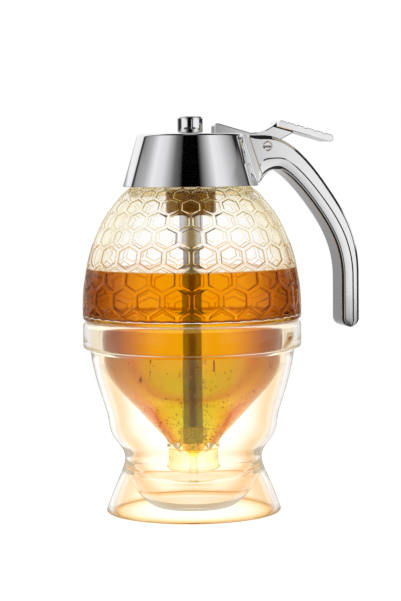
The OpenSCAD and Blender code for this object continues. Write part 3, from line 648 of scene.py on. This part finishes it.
handle_half = 6.5
head_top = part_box("handle")[1].z / MM
grip_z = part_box("handle")[0].z / MM
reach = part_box("handle")[1].x / MM
grip_t, grip_round = 7.4, 3.6
head_bend = np.array([pivot_x - 1.5, head_top])
arch_top = np.array([pivot_x + 4.2, cap_z + 6.3])
inside_x = reach - grip_t
grip_back, grip_front = np.array([reach, grip_z]), np.array([inside_x, grip_z])


def back_at(along, down):
    """The point at shares of the way across and down from the head's bend to the grip's back corner."""
    return head_bend + np.array([along, down]) * (grip_back - head_bend)


def front_at(along, down):
    """The point at shares of the way across and down from the arch's top to the grip's front corner."""
    return arch_top + np.array([along, down]) * (grip_front - arch_top)


back_mid = back_at(0.666, 0.262)
back = outline(
    [cap_radius(head_top) + 0.05, head_top],
    curve(head_bend, back_at(0.276, 0), back_at(0.4925, 0.1355), back_mid, 60),
    curve(back_mid, back_at(0.8467, 0.3935), back_at(1, 0.512), back_at(1, 0.719), 60),
    bend(reach - grip_round, grip_z + grip_round, grip_round, 0, -90, 24),
    [(reach + inside_x) / 2 + 0.05, grip_z],
)
front_mid = front_at(0.6105, 0.2473)
front = outline(
    curve([cap_bottom_r - 1, cap_z - 0.1], [cap_bottom_r + 1.2, cap_z + 3.4], arch_top - [3.7, 0],
          arch_top, 60),
    curve(arch_top, front_at(0.112, 0), front_at(0.371, 0.1064), front_mid, 60),
    curve(front_mid, front_at(0.828, 0.3756), front_at(1, 0.502), front_at(1, 0.69), 60),
    bend(inside_x + grip_round, grip_z + grip_round, grip_round, 180, 270, 24),
    [(reach + inside_x) / 2 - 0.05, grip_z],
)
front = front[front[:, 0] > cap_radius(front[:, 1]) + 0.05]


def paced(line, knots, steps):
    """Points along a line: the places nearest to the knots come at even counts, evenly filled between."""
    length = np.append(0, np.cumsum(np.linalg.norm(np.diff(line, axis=0), axis=1)))
    stops = [length[np.argmin(np.linalg.norm(line - k, axis=1))] for k in knots]
    stops = np.concatenate([[0], stops, [length[-1]]])
    at = np.interp(np.linspace(0, len(stops) - 1, steps * (len(stops) - 1) + 1), np.arange(len(stops)), stops)
    return np.stack([np.interp(at, length, line[:, i]) for i in (0, 1)], -1)


back_knots = [head_bend, [38, 146.8], [45.5, 141.4], [54.5, 130.4], [63.2, 117.5], [67.4, 105],
              [reach, grip_z + 10], [reach, grip_z + grip_round]]
front_knots = [[28.9, 133.9], arch_top, [39.8, 132.7], [48.5, 123], [56.3, 112.2], [59.9, 103.6],
               [inside_x, grip_z + 10], [inside_x, grip_z + grip_round]]
outer_edge, inner_edge = paced(back, back_knots, 16), paced(front, front_knots, 16)
bevel_w, inside_half, step_w, chamfer_w, chamfer_h = 4.4, 5.9, 0.5, 1.25, 1.25
# Half of the cross-section, as steps in from the inner edge and half widths: the flat inside, a tight
# round, an easy round, the almost flat bevel, the step at the crease, the flat side and the chamfer
tight, easy = np.radians(np.linspace(86, 25, 7)), np.radians(np.linspace(25, 0.4, 9))
tight_r, easy_r = 0.12, 3.6
section_in = np.concatenate([[0, 0, 0], tight_r * (math.sin(tight[0]) - np.sin(tight[1:]))])
section_in = np.append(section_in, section_in[-1] + easy_r * (math.sin(easy[0]) - np.sin(easy[1:])))
section_y = np.concatenate([[0, inside_half / 2, inside_half],
                            inside_half + tight_r * (np.cos(tight[1:]) - math.cos(tight[0]))])
section_y = np.append(section_y, section_y[-1] + easy_r * (np.cos(easy[1:]) - math.cos(easy[0])))
bevel_y = section_y[-1] + 0.01
chord = outer_edge - inner_edge
span = np.maximum(np.linalg.norm(chord, axis=1), 1e-6)[:, None]
# The bevel starts as a point at the cap's foot, is widest under the arch and then runs on evenly
row = np.arange(len(span))[:, None]
start_rows, widest_row, widest_rows = 3.5, 14, 9
narrow = 1 - 0.92 * np.exp(-row / start_rows) + 0.35 * np.exp(-(((row - widest_row) / widest_rows) ** 2))
narrow = np.minimum(narrow, 0.6 * span / bevel_w)
along = np.hstack([
    section_in * narrow, bevel_w * narrow, (bevel_w + step_w) * narrow,
    (bevel_w * narrow + span) / 2,
    span - chamfer_w * narrow, span - (chamfer_w - 0.12) * narrow, span - 0.06 * narrow, span, span, span,
])
full = handle_half + 0 * span
outer_half = full - chamfer_h - 0.06
aside = np.hstack([
    section_y + 0 * span, bevel_y + 0 * span, full, full, full, full - 0.1, full - chamfer_h + 0.02,
    outer_half, outer_half / 2, 0 * span,
])
half = inner_edge[:, None, :] + chord[:, None, :] * (along / span)[:, :, None]
side = np.stack([half[..., 0], aside, half[..., 1]], -1)
loop = np.concatenate([side, side[:, -2:0:-1] * [1, -1, 1]], axis=1)
against = cap_radius(loop[0, :, 2]) + 0.05
loop[0, :, 0] = np.sqrt(against**2 - loop[0, :, 1] ** 2)
kept = side.shape[1]
face_rows = np.arange(2, kept - 2)
height, width = side[0, face_rows, 2], side[0, face_rows, 1]
face_y = width[:, None] * np.linspace(-1, 1, 5)
face_x = np.sqrt((cap_radius(height) + 0.05)[:, None] ** 2 - face_y**2)
head_face = np.stack([face_x, face_y, height[:, None] + 0 * face_y], -1)
grip_end = list(range(loop[:-1, :, 0].size, loop[..., 0].size))
handle = solid(
    "handle_casting",
    [(loop, grid_faces(*loop.shape[:2], round_columns=True) + [grip_end]),
     (head_face, grid_faces(*head_face.shape[:2]))],
    chrome_casting, sharp=24, body="cap",
)
pin_r, pin_head_r = 1.5, 1.95
seam_off, seam_w = 1.9, 0.6


def wedge(corners):
    """A three-sided bar as a cutting tool, from the three corners of each end."""
    faces = [[0, 1, 2], [3, 4, 5], [0, 1, 4, 3], [1, 2, 5, 4], [2, 0, 3, 5]]
    return solid("tool", [(np.array(corners), faces)], cutter)


def seam(side):
    """A shallow groove beside the cap as a cutting tool: a slanted wedge that follows the cap's lean."""
    corners = []
    for z in (cap_z - 3, head_top + 1):
        x = math.sqrt(cap_radius(z) ** 2 - handle_half**2) + seam_off + 0.08 * (head_top - z) / 2
        corners += [[x, side * (handle_half + 0.01), z], [x + seam_w, side * (handle_half + 0.01), z],
                    [x + seam_w, side * (handle_half - seam_w), z]]
    return wedge(corners)


cut(
    handle,
    (seam(-1), "DIFFERENCE"),
    (seam(1), "DIFFERENCE"),
    (block([cap_top_r - 2, -slot_half, pivot_z - 4.4], [pivot_x + 10.5, slot_half, cap_top + 5]),
     "DIFFERENCE"),
    (solid("tool", [across_bar(pivot_x, pivot_z, pin_head_r + 0.12, -8, -5.5)], cutter), "DIFFERENCE"),
    sharp=9,
)
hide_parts("handle")

# ---------------------------------------------------------------- lever
# The lever is cast in one piece: a nose that reaches over the knob's side, an arm that turns on the pin,
# and a thumb plate across the handle with five grooves for grip. Its edges are broken and polished.

lever_half = 2.75
hub_r = 3.9
plate_w, plate_t, plate_lean = 23.4, 2.8, 15.8
plate_corner = np.array([pivot_x + 5.4, pivot_z + 10.3])
fork_z = pivot_z - 10.8 + 1.8
nose_top = cap_top + 4


def on_plate(along, down):
    """The place that far along the thumb plate and down into it, from its upper back corner."""
    c, s = np.cos(np.radians(plate_lean)), np.sin(np.radians(plate_lean))
    return plate_corner + np.stack([along * c - down * s, -along * s - down * c], -1)


def bar(line, half_width, edge):
    """An outline in X and Z carried across Y, drawn in along its normals at each side by a chamfer."""
    ahead, behind = np.roll(line, -1, axis=0) - line, line - np.roll(line, 1, axis=0)
    ahead /= np.linalg.norm(ahead, axis=1)[:, None]
    behind /= np.linalg.norm(behind, axis=1)[:, None]
    normal = np.stack([-(ahead + behind)[:, 1], (ahead + behind)[:, 0]], -1)
    normal /= np.maximum((normal**2).sum(1), 0.6)[:, None] / 2
    area = (line[:, 0] * np.roll(line[:, 1], -1) - line[:, 1] * np.roll(line[:, 0], -1)).sum()
    normal *= np.sign(area)
    inset = edge * np.array([1, 0, 0, 1])
    y = np.array([-half_width, edge - half_width, half_width - edge, half_width])
    flat = line + normal * inset[:, None, None]
    points = np.stack([flat[..., 0], np.repeat(y[:, None], len(line), 1), flat[..., 1]], -1)
    faces = grid_faces(len(y), len(line), round_columns=True)
    last = (len(y) - 1) * len(line)
    return points, faces + [list(range(len(line))), list(range(last, last + len(line)))]


arm_line = outline(
    [nose_x, fork_z],
    bend(nose_x + 1.3, nose_top - 1.3, 1.3, 180, 73, 8),
    curve([pivot_x - 6, cap_top + 0.15], [pivot_x - 2, cap_top - 0.3], [pivot_x + 2.9, cap_top + 1.6],
          on_plate(0, 0.7), 14),
    on_plate(0.8, 1),
    on_plate(8, plate_t - 0.4),
    curve([pivot_x + 11, cap_top - 0.4], [pivot_x + 6.5, pivot_z + 2.6],
          [pivot_x + hub_r + 0.8, pivot_z + 1.4], [pivot_x + hub_r, pivot_z], 10),
    bend(pivot_x, pivot_z, hub_r, -15, -150, 16),
    [nose_x + 4.5, pivot_z - 2],
    [nose_x + 3.5, pivot_z - 3],
    [nose_x + 3.5, fork_z],
)
groove_at, groove_pitch, grooves = 2.9, 4.05, 5
groove, groove_raise = bend(0, 0, 0.6, 166, 14, 6).T, 0.15
groove_along = groove_at + groove_pitch * np.arange(grooves)[:, None] + groove[0]
groove_down = np.tile(groove[1] - groove_raise, (grooves, 1))
plate_end = plate_t / 2
tip = bend(plate_w - plate_end, 0, plate_end, 90, -90, 12).T
plate_line = outline(
    on_plate(-0.2, plate_t),
    on_plate(0, 0.6),
    on_plate(0.6, 0),
    on_plate(groove_along, groove_down).reshape(-1, 2),
    on_plate(tip[0], plate_end - tip[1]),
)
lever = solid("lever_casting", [bar(arm_line, lever_half, 0.3)], chrome_casting, sharp=24, body="lever")
cut(
    lever,
    (solid("tool", [bar(plate_line, handle_half, 0.2)], chrome_casting, sharp=24), "UNION"),
    (solid("tool", [across_bar(pivot_x, pivot_z, pin_r + 0.05, -8, 8)], cutter), "DIFFERENCE"),
)
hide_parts("lever")

# ---------------------------------------------------------------- pivot pin
# A stainless pin through the handle's head is what the lever turns on. Its slotted head lies flush in
# the near side, and its far end is just under the surface.

pin = solid("pivot_pin_turned", [across_bar(pivot_x, pivot_z, pin_r, -6.0, 6.4)], mirror_steel, body="cap")
head_rings = [(pin_head_r, -5.55), (pin_head_r, -6.08), (pin_head_r - 0.55, -6.44)]
head_steps = 48
head_points = np.stack([np.insert(bend(pivot_x, pivot_z, r, 0, 360, head_steps)[:-1], 1, y, axis=1)
                        for r, y in head_rings])
head_faces = grid_faces(len(head_rings), head_steps, round_columns=True)
head_faces += [list(range(head_steps)), list(range(2 * head_steps, 3 * head_steps))]
pin_head = solid("tool", [(head_points, head_faces)], mirror_steel)
slot_half_w, slot_face, slot_floor = 0.72, -6.5, -6.0
pin_slot = wedge([[pivot_x + x, y, pivot_z + z] for x in (-3, 3)
                  for y, z in ((slot_floor, 0), (slot_face, slot_half_w), (slot_face, -slot_half_w))])
cut(pin, (pin_head, "UNION"), (pin_slot, "DIFFERENCE"))
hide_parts("pivot_pin")

# ---------------------------------------------------------------- rod and knob
# The rod is ground stainless bar, satin below and hidden above. The knob on its top is turned bright,
# with a soft round on its edge.

satin_steel = polished("ground_stainless_bar", "#9a9a9c", 0.12, haze=0.06, grain=0.2, grain_size=0.3)

rod_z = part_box("plunger_rod")[0].z / MM
knob_low, knob_high = (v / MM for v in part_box("knob"))
rod_line = outline(
    [0, rod_z], [rod_r - 0.3, rod_z], [rod_r, rod_z + 0.3], [rod_r, knob_low.z], [2, knob_low.z],
    [2, knob_high.z - 2], [0, knob_high.z - 2],
)
rod = solid("plunger_rod_ground", [turned(rod_line)], satin_steel, body="plunger")
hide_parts("plunger_rod")
knob_r, knob_round = knob_high.x, 0.9
knob_line = outline(
    [0, knob_low.z],
    [knob_r - 0.25, knob_low.z],
    bend(knob_r - 0.25, knob_low.z + 0.25, 0.25, -90, 0, 4),
    bend(knob_r - knob_round, knob_high.z - knob_round, knob_round, 0, 90, 10),
    [0, knob_high.z],
)
knob = solid("knob_turned", [turned(knob_line)], mirror_steel, body="plunger")
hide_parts("knob")

# ---------------------------------------------------------------- stopper
# A soft silicone ball end is moulded on the rod's foot and closes the outlet under the spring's push.
# It is nearly as clear as the honey round it.


def clear_silicone(name, tone, cloudy, ior, rough):
    """Translucent silicone between two tones, clouded in patches of about two millimetres."""
    material, tree = blank(name)
    place = add(tree, "TexCoord").outputs["Object"]
    cloud = add(tree, "TexNoise", {"Vector": place, "Scale": 1 / (2 * MM), "Detail": 2.0})
    shade = add(tree, "MixRGB", {"Fac": cloud, "Color1": linear(tone), "Color2": linear(cloudy)})
    rubber = add(tree, "BsdfPrincipled", {
        "Base Color": shade, "Roughness": rough, "IOR": ior, "Transmission Weight": 0.88})
    add(tree, "OutputMaterial", {"Surface": let_light_by(tree, rubber)})
    return material


# Honey bends light nearly as silicone does, so the stopper in it is hard to see
silicone = clear_silicone("silicone_in_honey", "#f2cf86", "#ffe9b4", 1.04, 0.12)

stopper_low, stopper_high = (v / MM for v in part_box("stopper"))
ball_r = 5.2
ball_z = stopper_low.z + ball_r
stopper_line = outline(
    [0, stopper_low.z],
    bend(0, ball_z, ball_r, -88, 28, 24),
    curve([4.6, ball_z + 2.44], [4.2, ball_z + 4], [rod_r + 1.2, stopper_high.z - 3],
          [rod_r + 1.2, stopper_high.z - 1], 8),
    [rod_r + 0.7, stopper_high.z],
    [0, stopper_high.z],
)
stopper = solid("stopper_moulded", [turned(stopper_line)], silicone, body="plunger")
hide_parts("stopper")

# ---------------------------------------------------------------- return spring
# A stainless compression spring in the housing pushes the rod down, and shortens as the rod rises. Its
# coils lie a little closer at both ends.

spring_low, spring_high = (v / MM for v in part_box("return_spring"))
wire_r, coil_r, coils = 0.4, 5.0, 3.5
stations, round_wire = 113, 12
t = np.linspace(0, 1, stations)[:, None]
low_wire, high_wire = spring_low.z + wire_r, spring_high.z - wire_r
rise = low_wire + (high_wire - low_wire) * (0.85 * t + 0.15 * (1 - np.cos(np.pi * t)) / 2)
turn = 2 * np.pi * coils * t
around = np.linspace(0, 2 * np.pi, round_wire, endpoint=False)
wire = coil_r + wire_r * np.cos(around)
tube = np.stack([wire * np.cos(turn), wire * np.sin(turn), rise + wire_r * np.sin(around)], -1)
first, end = np.arange(round_wire), (stations - 1) * round_wire
spring_faces = grid_faces(stations, round_wire, round_columns=True) + [first.tolist(), (end + first).tolist()]
spring = solid("return_spring_coiled", [(tube, spring_faces)], satin_steel, body="cap")
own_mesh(spring)
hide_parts("return_spring")

# ---------------------------------------------------------------- inner pieces
# The liner and bushes are moulded in white food plastic, the gasket is clear silicone, and the housing,
# sleeve, collar, fork, washer, clip and screws are turned or stamped from stainless and left satin. The
# housing's dark gold is painted shade.

# The mould's fine spark grain breaks the plastic's gloss, and its white varies a little where it flowed
moulded, tree = blank("moulded_food_plastic")
place = add(tree, "TexCoord").outputs["Object"]
grit = add(tree, "TexNoise", {"Vector": place, "Scale": 1 / (0.6 * MM), "Detail": 2.0})
bump = add(tree, "Bump", {"Height": grit, "Strength": 0.15, "Distance": 0.05 * MM})
flow = add(tree, "TexNoise", {"Vector": place, "Scale": 1 / (12 * MM)})
shade = add(tree, "MixRGB", {"Fac": flow, "Color1": linear("#e4e2dc"), "Color2": linear("#efeee9")})
plastic = add(tree, "BsdfPrincipled", {"Base Color": shade, "Roughness": 0.4, "Normal": bump})
add(tree, "OutputMaterial", {"Surface": plastic})

gasket_silicone = clear_silicone("gasket_silicone", "#e6e4dc", "#f2f1ec", 1.41, 0.3)
# The steel cup is painted dark gold, a painted shade tinted by the honey's light as it looks through the
# hexagons, and the sleeve a plain light grey
housing_steel = polished("drawn_stainless_cup", "#7a5820", 0.1, haze=0.06, grain=0.1)
sleeve_steel = polished("bright_stainless_tube", "#c6c6ca", 0.12, haze=0.05, grain=0.06)
finishes = {
    moulded: ["cap_liner", "upper_bush", "lower_bush"],
    gasket_silicone: ["cap_gasket"],
    housing_steel: ["spring_housing"],
    sleeve_steel: ["guide_sleeve"],
    satin_steel: ["lift_collar", "collar_screw", "lift_fork", "fork_screw", "handle_screws",
                  "spring_seat", "seat_clip"],
}
for material, names in finishes.items():
    for name in names:
        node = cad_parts[name]
        node.data.materials.clear()
        node.data.materials.append(material)

# ---------------------------------------------------------------- table and light
# The dispenser stands on a plain pale table in a white room with one soft lamp. What mirrors the room
# sees it in dark and light bands, and the gap behind the camera gives the steel its deep middle stripe.

camera_turn = math.radians(-14)
floor_paint, tree = blank("matt_white_table")
place = add(tree, "TexCoord").outputs["Object"]
grain = add(tree, "TexNoise", {"Vector": place, "Scale": 1 / (33.3 * MM)})
shade = add(tree, "MixRGB", {"Fac": grain, "Color1": linear("#f1f1f1"), "Color2": linear("#f4f4f4")})
# Under the foot, a painted ring of amber light stands in for the light that comes through the honey: it tints
# the table's paint and its glow
tinted_r = 40
away = add(tree, "VectorMath", {0: place}, operation="LENGTH").outputs["Value"]
away = add(tree, "MapRange", {"Value": away, "From Max": tinted_r * MM})
painted_honey_light = add(tree, "ValToRGB", {"Fac": away}, [
    (0.0, "#fffdfa"), (0.50, "#fef8ee"), (0.74, "#f8dfb8"), (0.84, "#d8963c"), (0.89, "#ffffff")])
shade = add(tree, "MixRGB", {"Fac": 1.0, "Color1": shade, "Color2": painted_honey_light}, blend_type="MULTIPLY")
paint = add(tree, "BsdfDiffuse", {"Color": shade})
glow = add(tree, "Emission", {"Color": painted_honey_light, "Strength": 0.35})
rays = add(tree, "LightPath").outputs
seen = add(tree, "Math", {0: rays["Is Camera Ray"], 1: rays["Is Glossy Ray"]}, operation="MAXIMUM")
seen = add(tree, "Math", {0: seen, 1: rays["Is Transmission Ray"]}, operation="MAXIMUM")
none = add(tree, "Emission", {"Strength": 0.0})
lift = add(tree, "MixShader", {0: seen, 1: none, 2: glow})
both = add(tree, "AddShader", {0: paint, 1: lift})
# Mirrored rays go on to the room, so that its dark and light bands run down the steel without a break
mirror = add(tree, "Math", {0: rays["Is Glossy Ray"], 1: rays["Is Transmission Ray"]},
             operation="SUBTRACT", use_clamp=True)
both = add(tree, "MixShader", {0: mirror, 1: both, 2: add(tree, "BsdfTransparent")})
add(tree, "OutputMaterial", {"Surface": both})
table_r, table_steps = 420, 96
edge = np.insert(bend(0, 0, table_r, 0, 360, table_steps)[:-1], 2, 0, axis=1)
table = solid("table", [(edge, [list(range(table_steps))])], floor_paint)

world = bpy.data.worlds.new("white_room")
bpy.context.scene.world = world
world.use_nodes = True
tree = world.node_tree
tree.nodes.clear()
direction = add(tree, "TexCoord").outputs["Generated"]
direction = add(tree, "VectorRotate", {"Vector": direction, "Angle": -camera_turn}, rotation_type="Z_AXIS")
axes = add(tree, "SeparateXYZ", {0: direction}).outputs
toward = add(tree, "Math", {0: axes["Y"], 1: -1.0}, operation="MULTIPLY")
bearing = add(tree, "Math", {0: axes["X"], 1: toward}, operation="ARCTAN2")
bearing = add(tree, "Math", {0: bearing, 1: 1 / (2 * math.pi)}, operation="MULTIPLY")
bearing = add(tree, "Math", {0: bearing, 1: 0.5}, operation="ADD")


def round_the_room(*stops):
    """The room's tones all round: each stop is a bearing in degrees from the camera, negative to the left,
    with a brightness or a hex colour there."""
    return add(tree, "ValToRGB", {"Fac": bearing}, [(angle / 360 + 0.5, tone) for angle, tone in stops])


# The leaning cap mirrors the two bands above eye level, and upright sides mirror the band at eye level
behind_left = [(-180, 1.0), (-132, 1.0), (-124, 0.9), (-121, 0.03), (-117, 0.03)]
in_front = [(-90, 0.5), (-72, 0.95), (-52, 0.8), (-30, 0.16), (-19, 0.06), (-16, 0.0), (16, 0.0), (19, 0.06),
            (34, 0.5), (48, 0.95), (64, 0.85)]
high_band = round_the_room(
    *behind_left, (-113, 0.35), *in_front,
    (92, 0.3), (113, 0.2), (117, 0.03), (121, 0.03), (124, 0.9), (132, 1.0), (180, 1.0))
upper_band = round_the_room(
    *behind_left, (-113, 0.25), *in_front,
    (96, 0.4), (104, 0.25), (110, 0.02), (150, 0.02), (158, 0.9), (180, 0.9))
low_band = round_the_room(
    (-180, 0.6), (-160, 0.35), (-138, 0.28), (-130, 0.04), (-90, 0.04), (-80, 0.95), (-36, 0.95), (-26, 0.4),
    (-20, 0.0), (9, 0.0), (12, 0.55), (16, 0.55), (19, 0.0), (25, 0.2), (28.4, 0.12), (29.0, 0.25),
    (29.8, 0.9), (30.8, 1.0), (60, 1.0), (86, 0.95), (95, 0.04), (150, 0.04), (160, 0.45), (180, 0.6))
# The glass mirrors the band below eye level: dark, with a light window at each side
glass_band = round_the_room(
    (-180, 0.6), (-160, 0.35), (-138, 0.28), (-130, 0.05), (-98, 0.05), (-92, 0.85), (-62, 0.85),
    (-56, 0.05), (-20, 0.02), (9, 0.02), (12, 0.55), (16, 0.55), (19, 0.02), (48, 0.05), (52, 0.8),
    (70, 0.8), (76, 0.05), (150, 0.05), (160, 0.5), (180, 0.6))
# Bent through the glass, the room is white with a warm gap in front
beyond = round_the_room(
    (-180, 1.0), (-75, 1.0), (-50, "#f3dfb4"), (-25, "#b59a63"), (25, "#b59a63"), (50, "#f3dfb4"),
    (75, 1.0), (180, 1.0))


def rising(low, high, below, above):
    """Two tones mixed by height: below up to one sine of the elevation, and above from another on."""
    share = add(tree, "MapRange", {"Value": axes["Z"], "From Min": low, "From Max": high})
    return add(tree, "MixRGB", {"Fac": share, "Color1": below, "Color2": above})


mirrored = rising(-0.083, -0.079, glass_band, low_band)
mirrored = rising(0.05, 0.10, mirrored, high_band)
mirrored = rising(0.27, 0.31, mirrored, upper_band)
mirrored = rising(0.78, 0.84, mirrored, linear("#202020"))
mirrored = rising(0.985, 0.995, mirrored, linear("#d9d9d9"))
mirrored = add(tree, "Background", {"Color": mirrored})
plain = add(tree, "Background", {"Color": linear("#ffffff"), "Strength": 0.85})
white = add(tree, "Background", {"Color": linear("#ffffff"), "Strength": 1.0})
through = add(tree, "Background", {"Color": beyond})
rays = add(tree, "LightPath").outputs
# A mirrored ray that has already run on inside the glass comes out to a plain warm white
early = add(tree, "Math", {0: rays["Ray Depth"], 1: 3.5}, operation="LESS_THAN")
early = add(tree, "Math", {0: early, 1: rays["Is Glossy Ray"]}, operation="MULTIPLY")
late = add(tree, "Math", {0: rays["Is Glossy Ray"], 1: early}, operation="SUBTRACT")
deep = add(tree, "Background", {"Color": linear("#d8ccb8")})
mixed = add(tree, "MixShader", {0: early, 1: plain, 2: mirrored})
mixed = add(tree, "MixShader", {0: late, 1: mixed, 2: deep})
mixed = add(tree, "MixShader", {0: rays["Is Transmission Ray"], 1: mixed, 2: through})
mixed = add(tree, "MixShader", {0: rays["Is Camera Ray"], 1: mixed, 2: white})
add(tree, "OutputWorld", {"Surface": mixed})

# A square lamp of half a metre, up to the left, faces the middle of the jar
lamp = bpy.data.lights.new("key_panel", "AREA")
lamp.shape, lamp.size, lamp.energy = "SQUARE", 0.5, 4.0
holder = bpy.data.objects.new("key_panel", lamp)
lamp_at, jar_middle = np.array([-0.5, -0.5, 0.75]), np.array([0, 0, 0.08])
aim = jar_middle - lamp_at
holder.location = lamp_at
holder.rotation_euler = (math.atan2(math.hypot(aim[0], aim[1]), -aim[2]), 0, math.atan2(-aim[0], aim[1]))
holder.visible_glossy = holder.visible_transmission = False
bpy.context.scene.collection.objects.link(holder)

# ---------------------------------------------------------------- camera
# A long lens at the height of the cap looks slightly down, from a little to the left of the handle's
# side. Its place, tilt and roll are fitted to the ellipses of the rims.

distance, eye_z, focal_px = 847.1, 144.3, 2127.5
picture_h, pitch_deg, yaw_deg, roll_deg = 601, 4.062, 0.233, 0.57
camera_data = bpy.data.cameras.new("camera")
camera_data.sensor_width = 36
camera_data.lens = focal_px / picture_h * camera_data.sensor_width
camera_data.clip_start, camera_data.clip_end = 0.05, 20
camera = bpy.data.objects.new("camera", camera_data)
bpy.context.scene.collection.objects.link(camera)
camera.location = (distance * MM * math.sin(camera_turn), -distance * MM * math.cos(camera_turn), eye_z * MM)
look = Matrix.Rotation(camera_turn - math.radians(yaw_deg), 3, "Z") @ Matrix.Rotation(
    math.radians(90 - pitch_deg), 3, "X") @ Matrix.Rotation(math.radians(-roll_deg), 3, "Z")
camera.rotation_euler = look.to_euler()
bpy.context.scene.camera = camera

scene = bpy.context.scene
scene.view_settings.view_transform = "Standard"
scene.cycles.max_bounces = 32
scene.cycles.transmission_bounces = 32
scene.cycles.glossy_bounces = 32
scene.cycles.transparent_max_bounces = 16
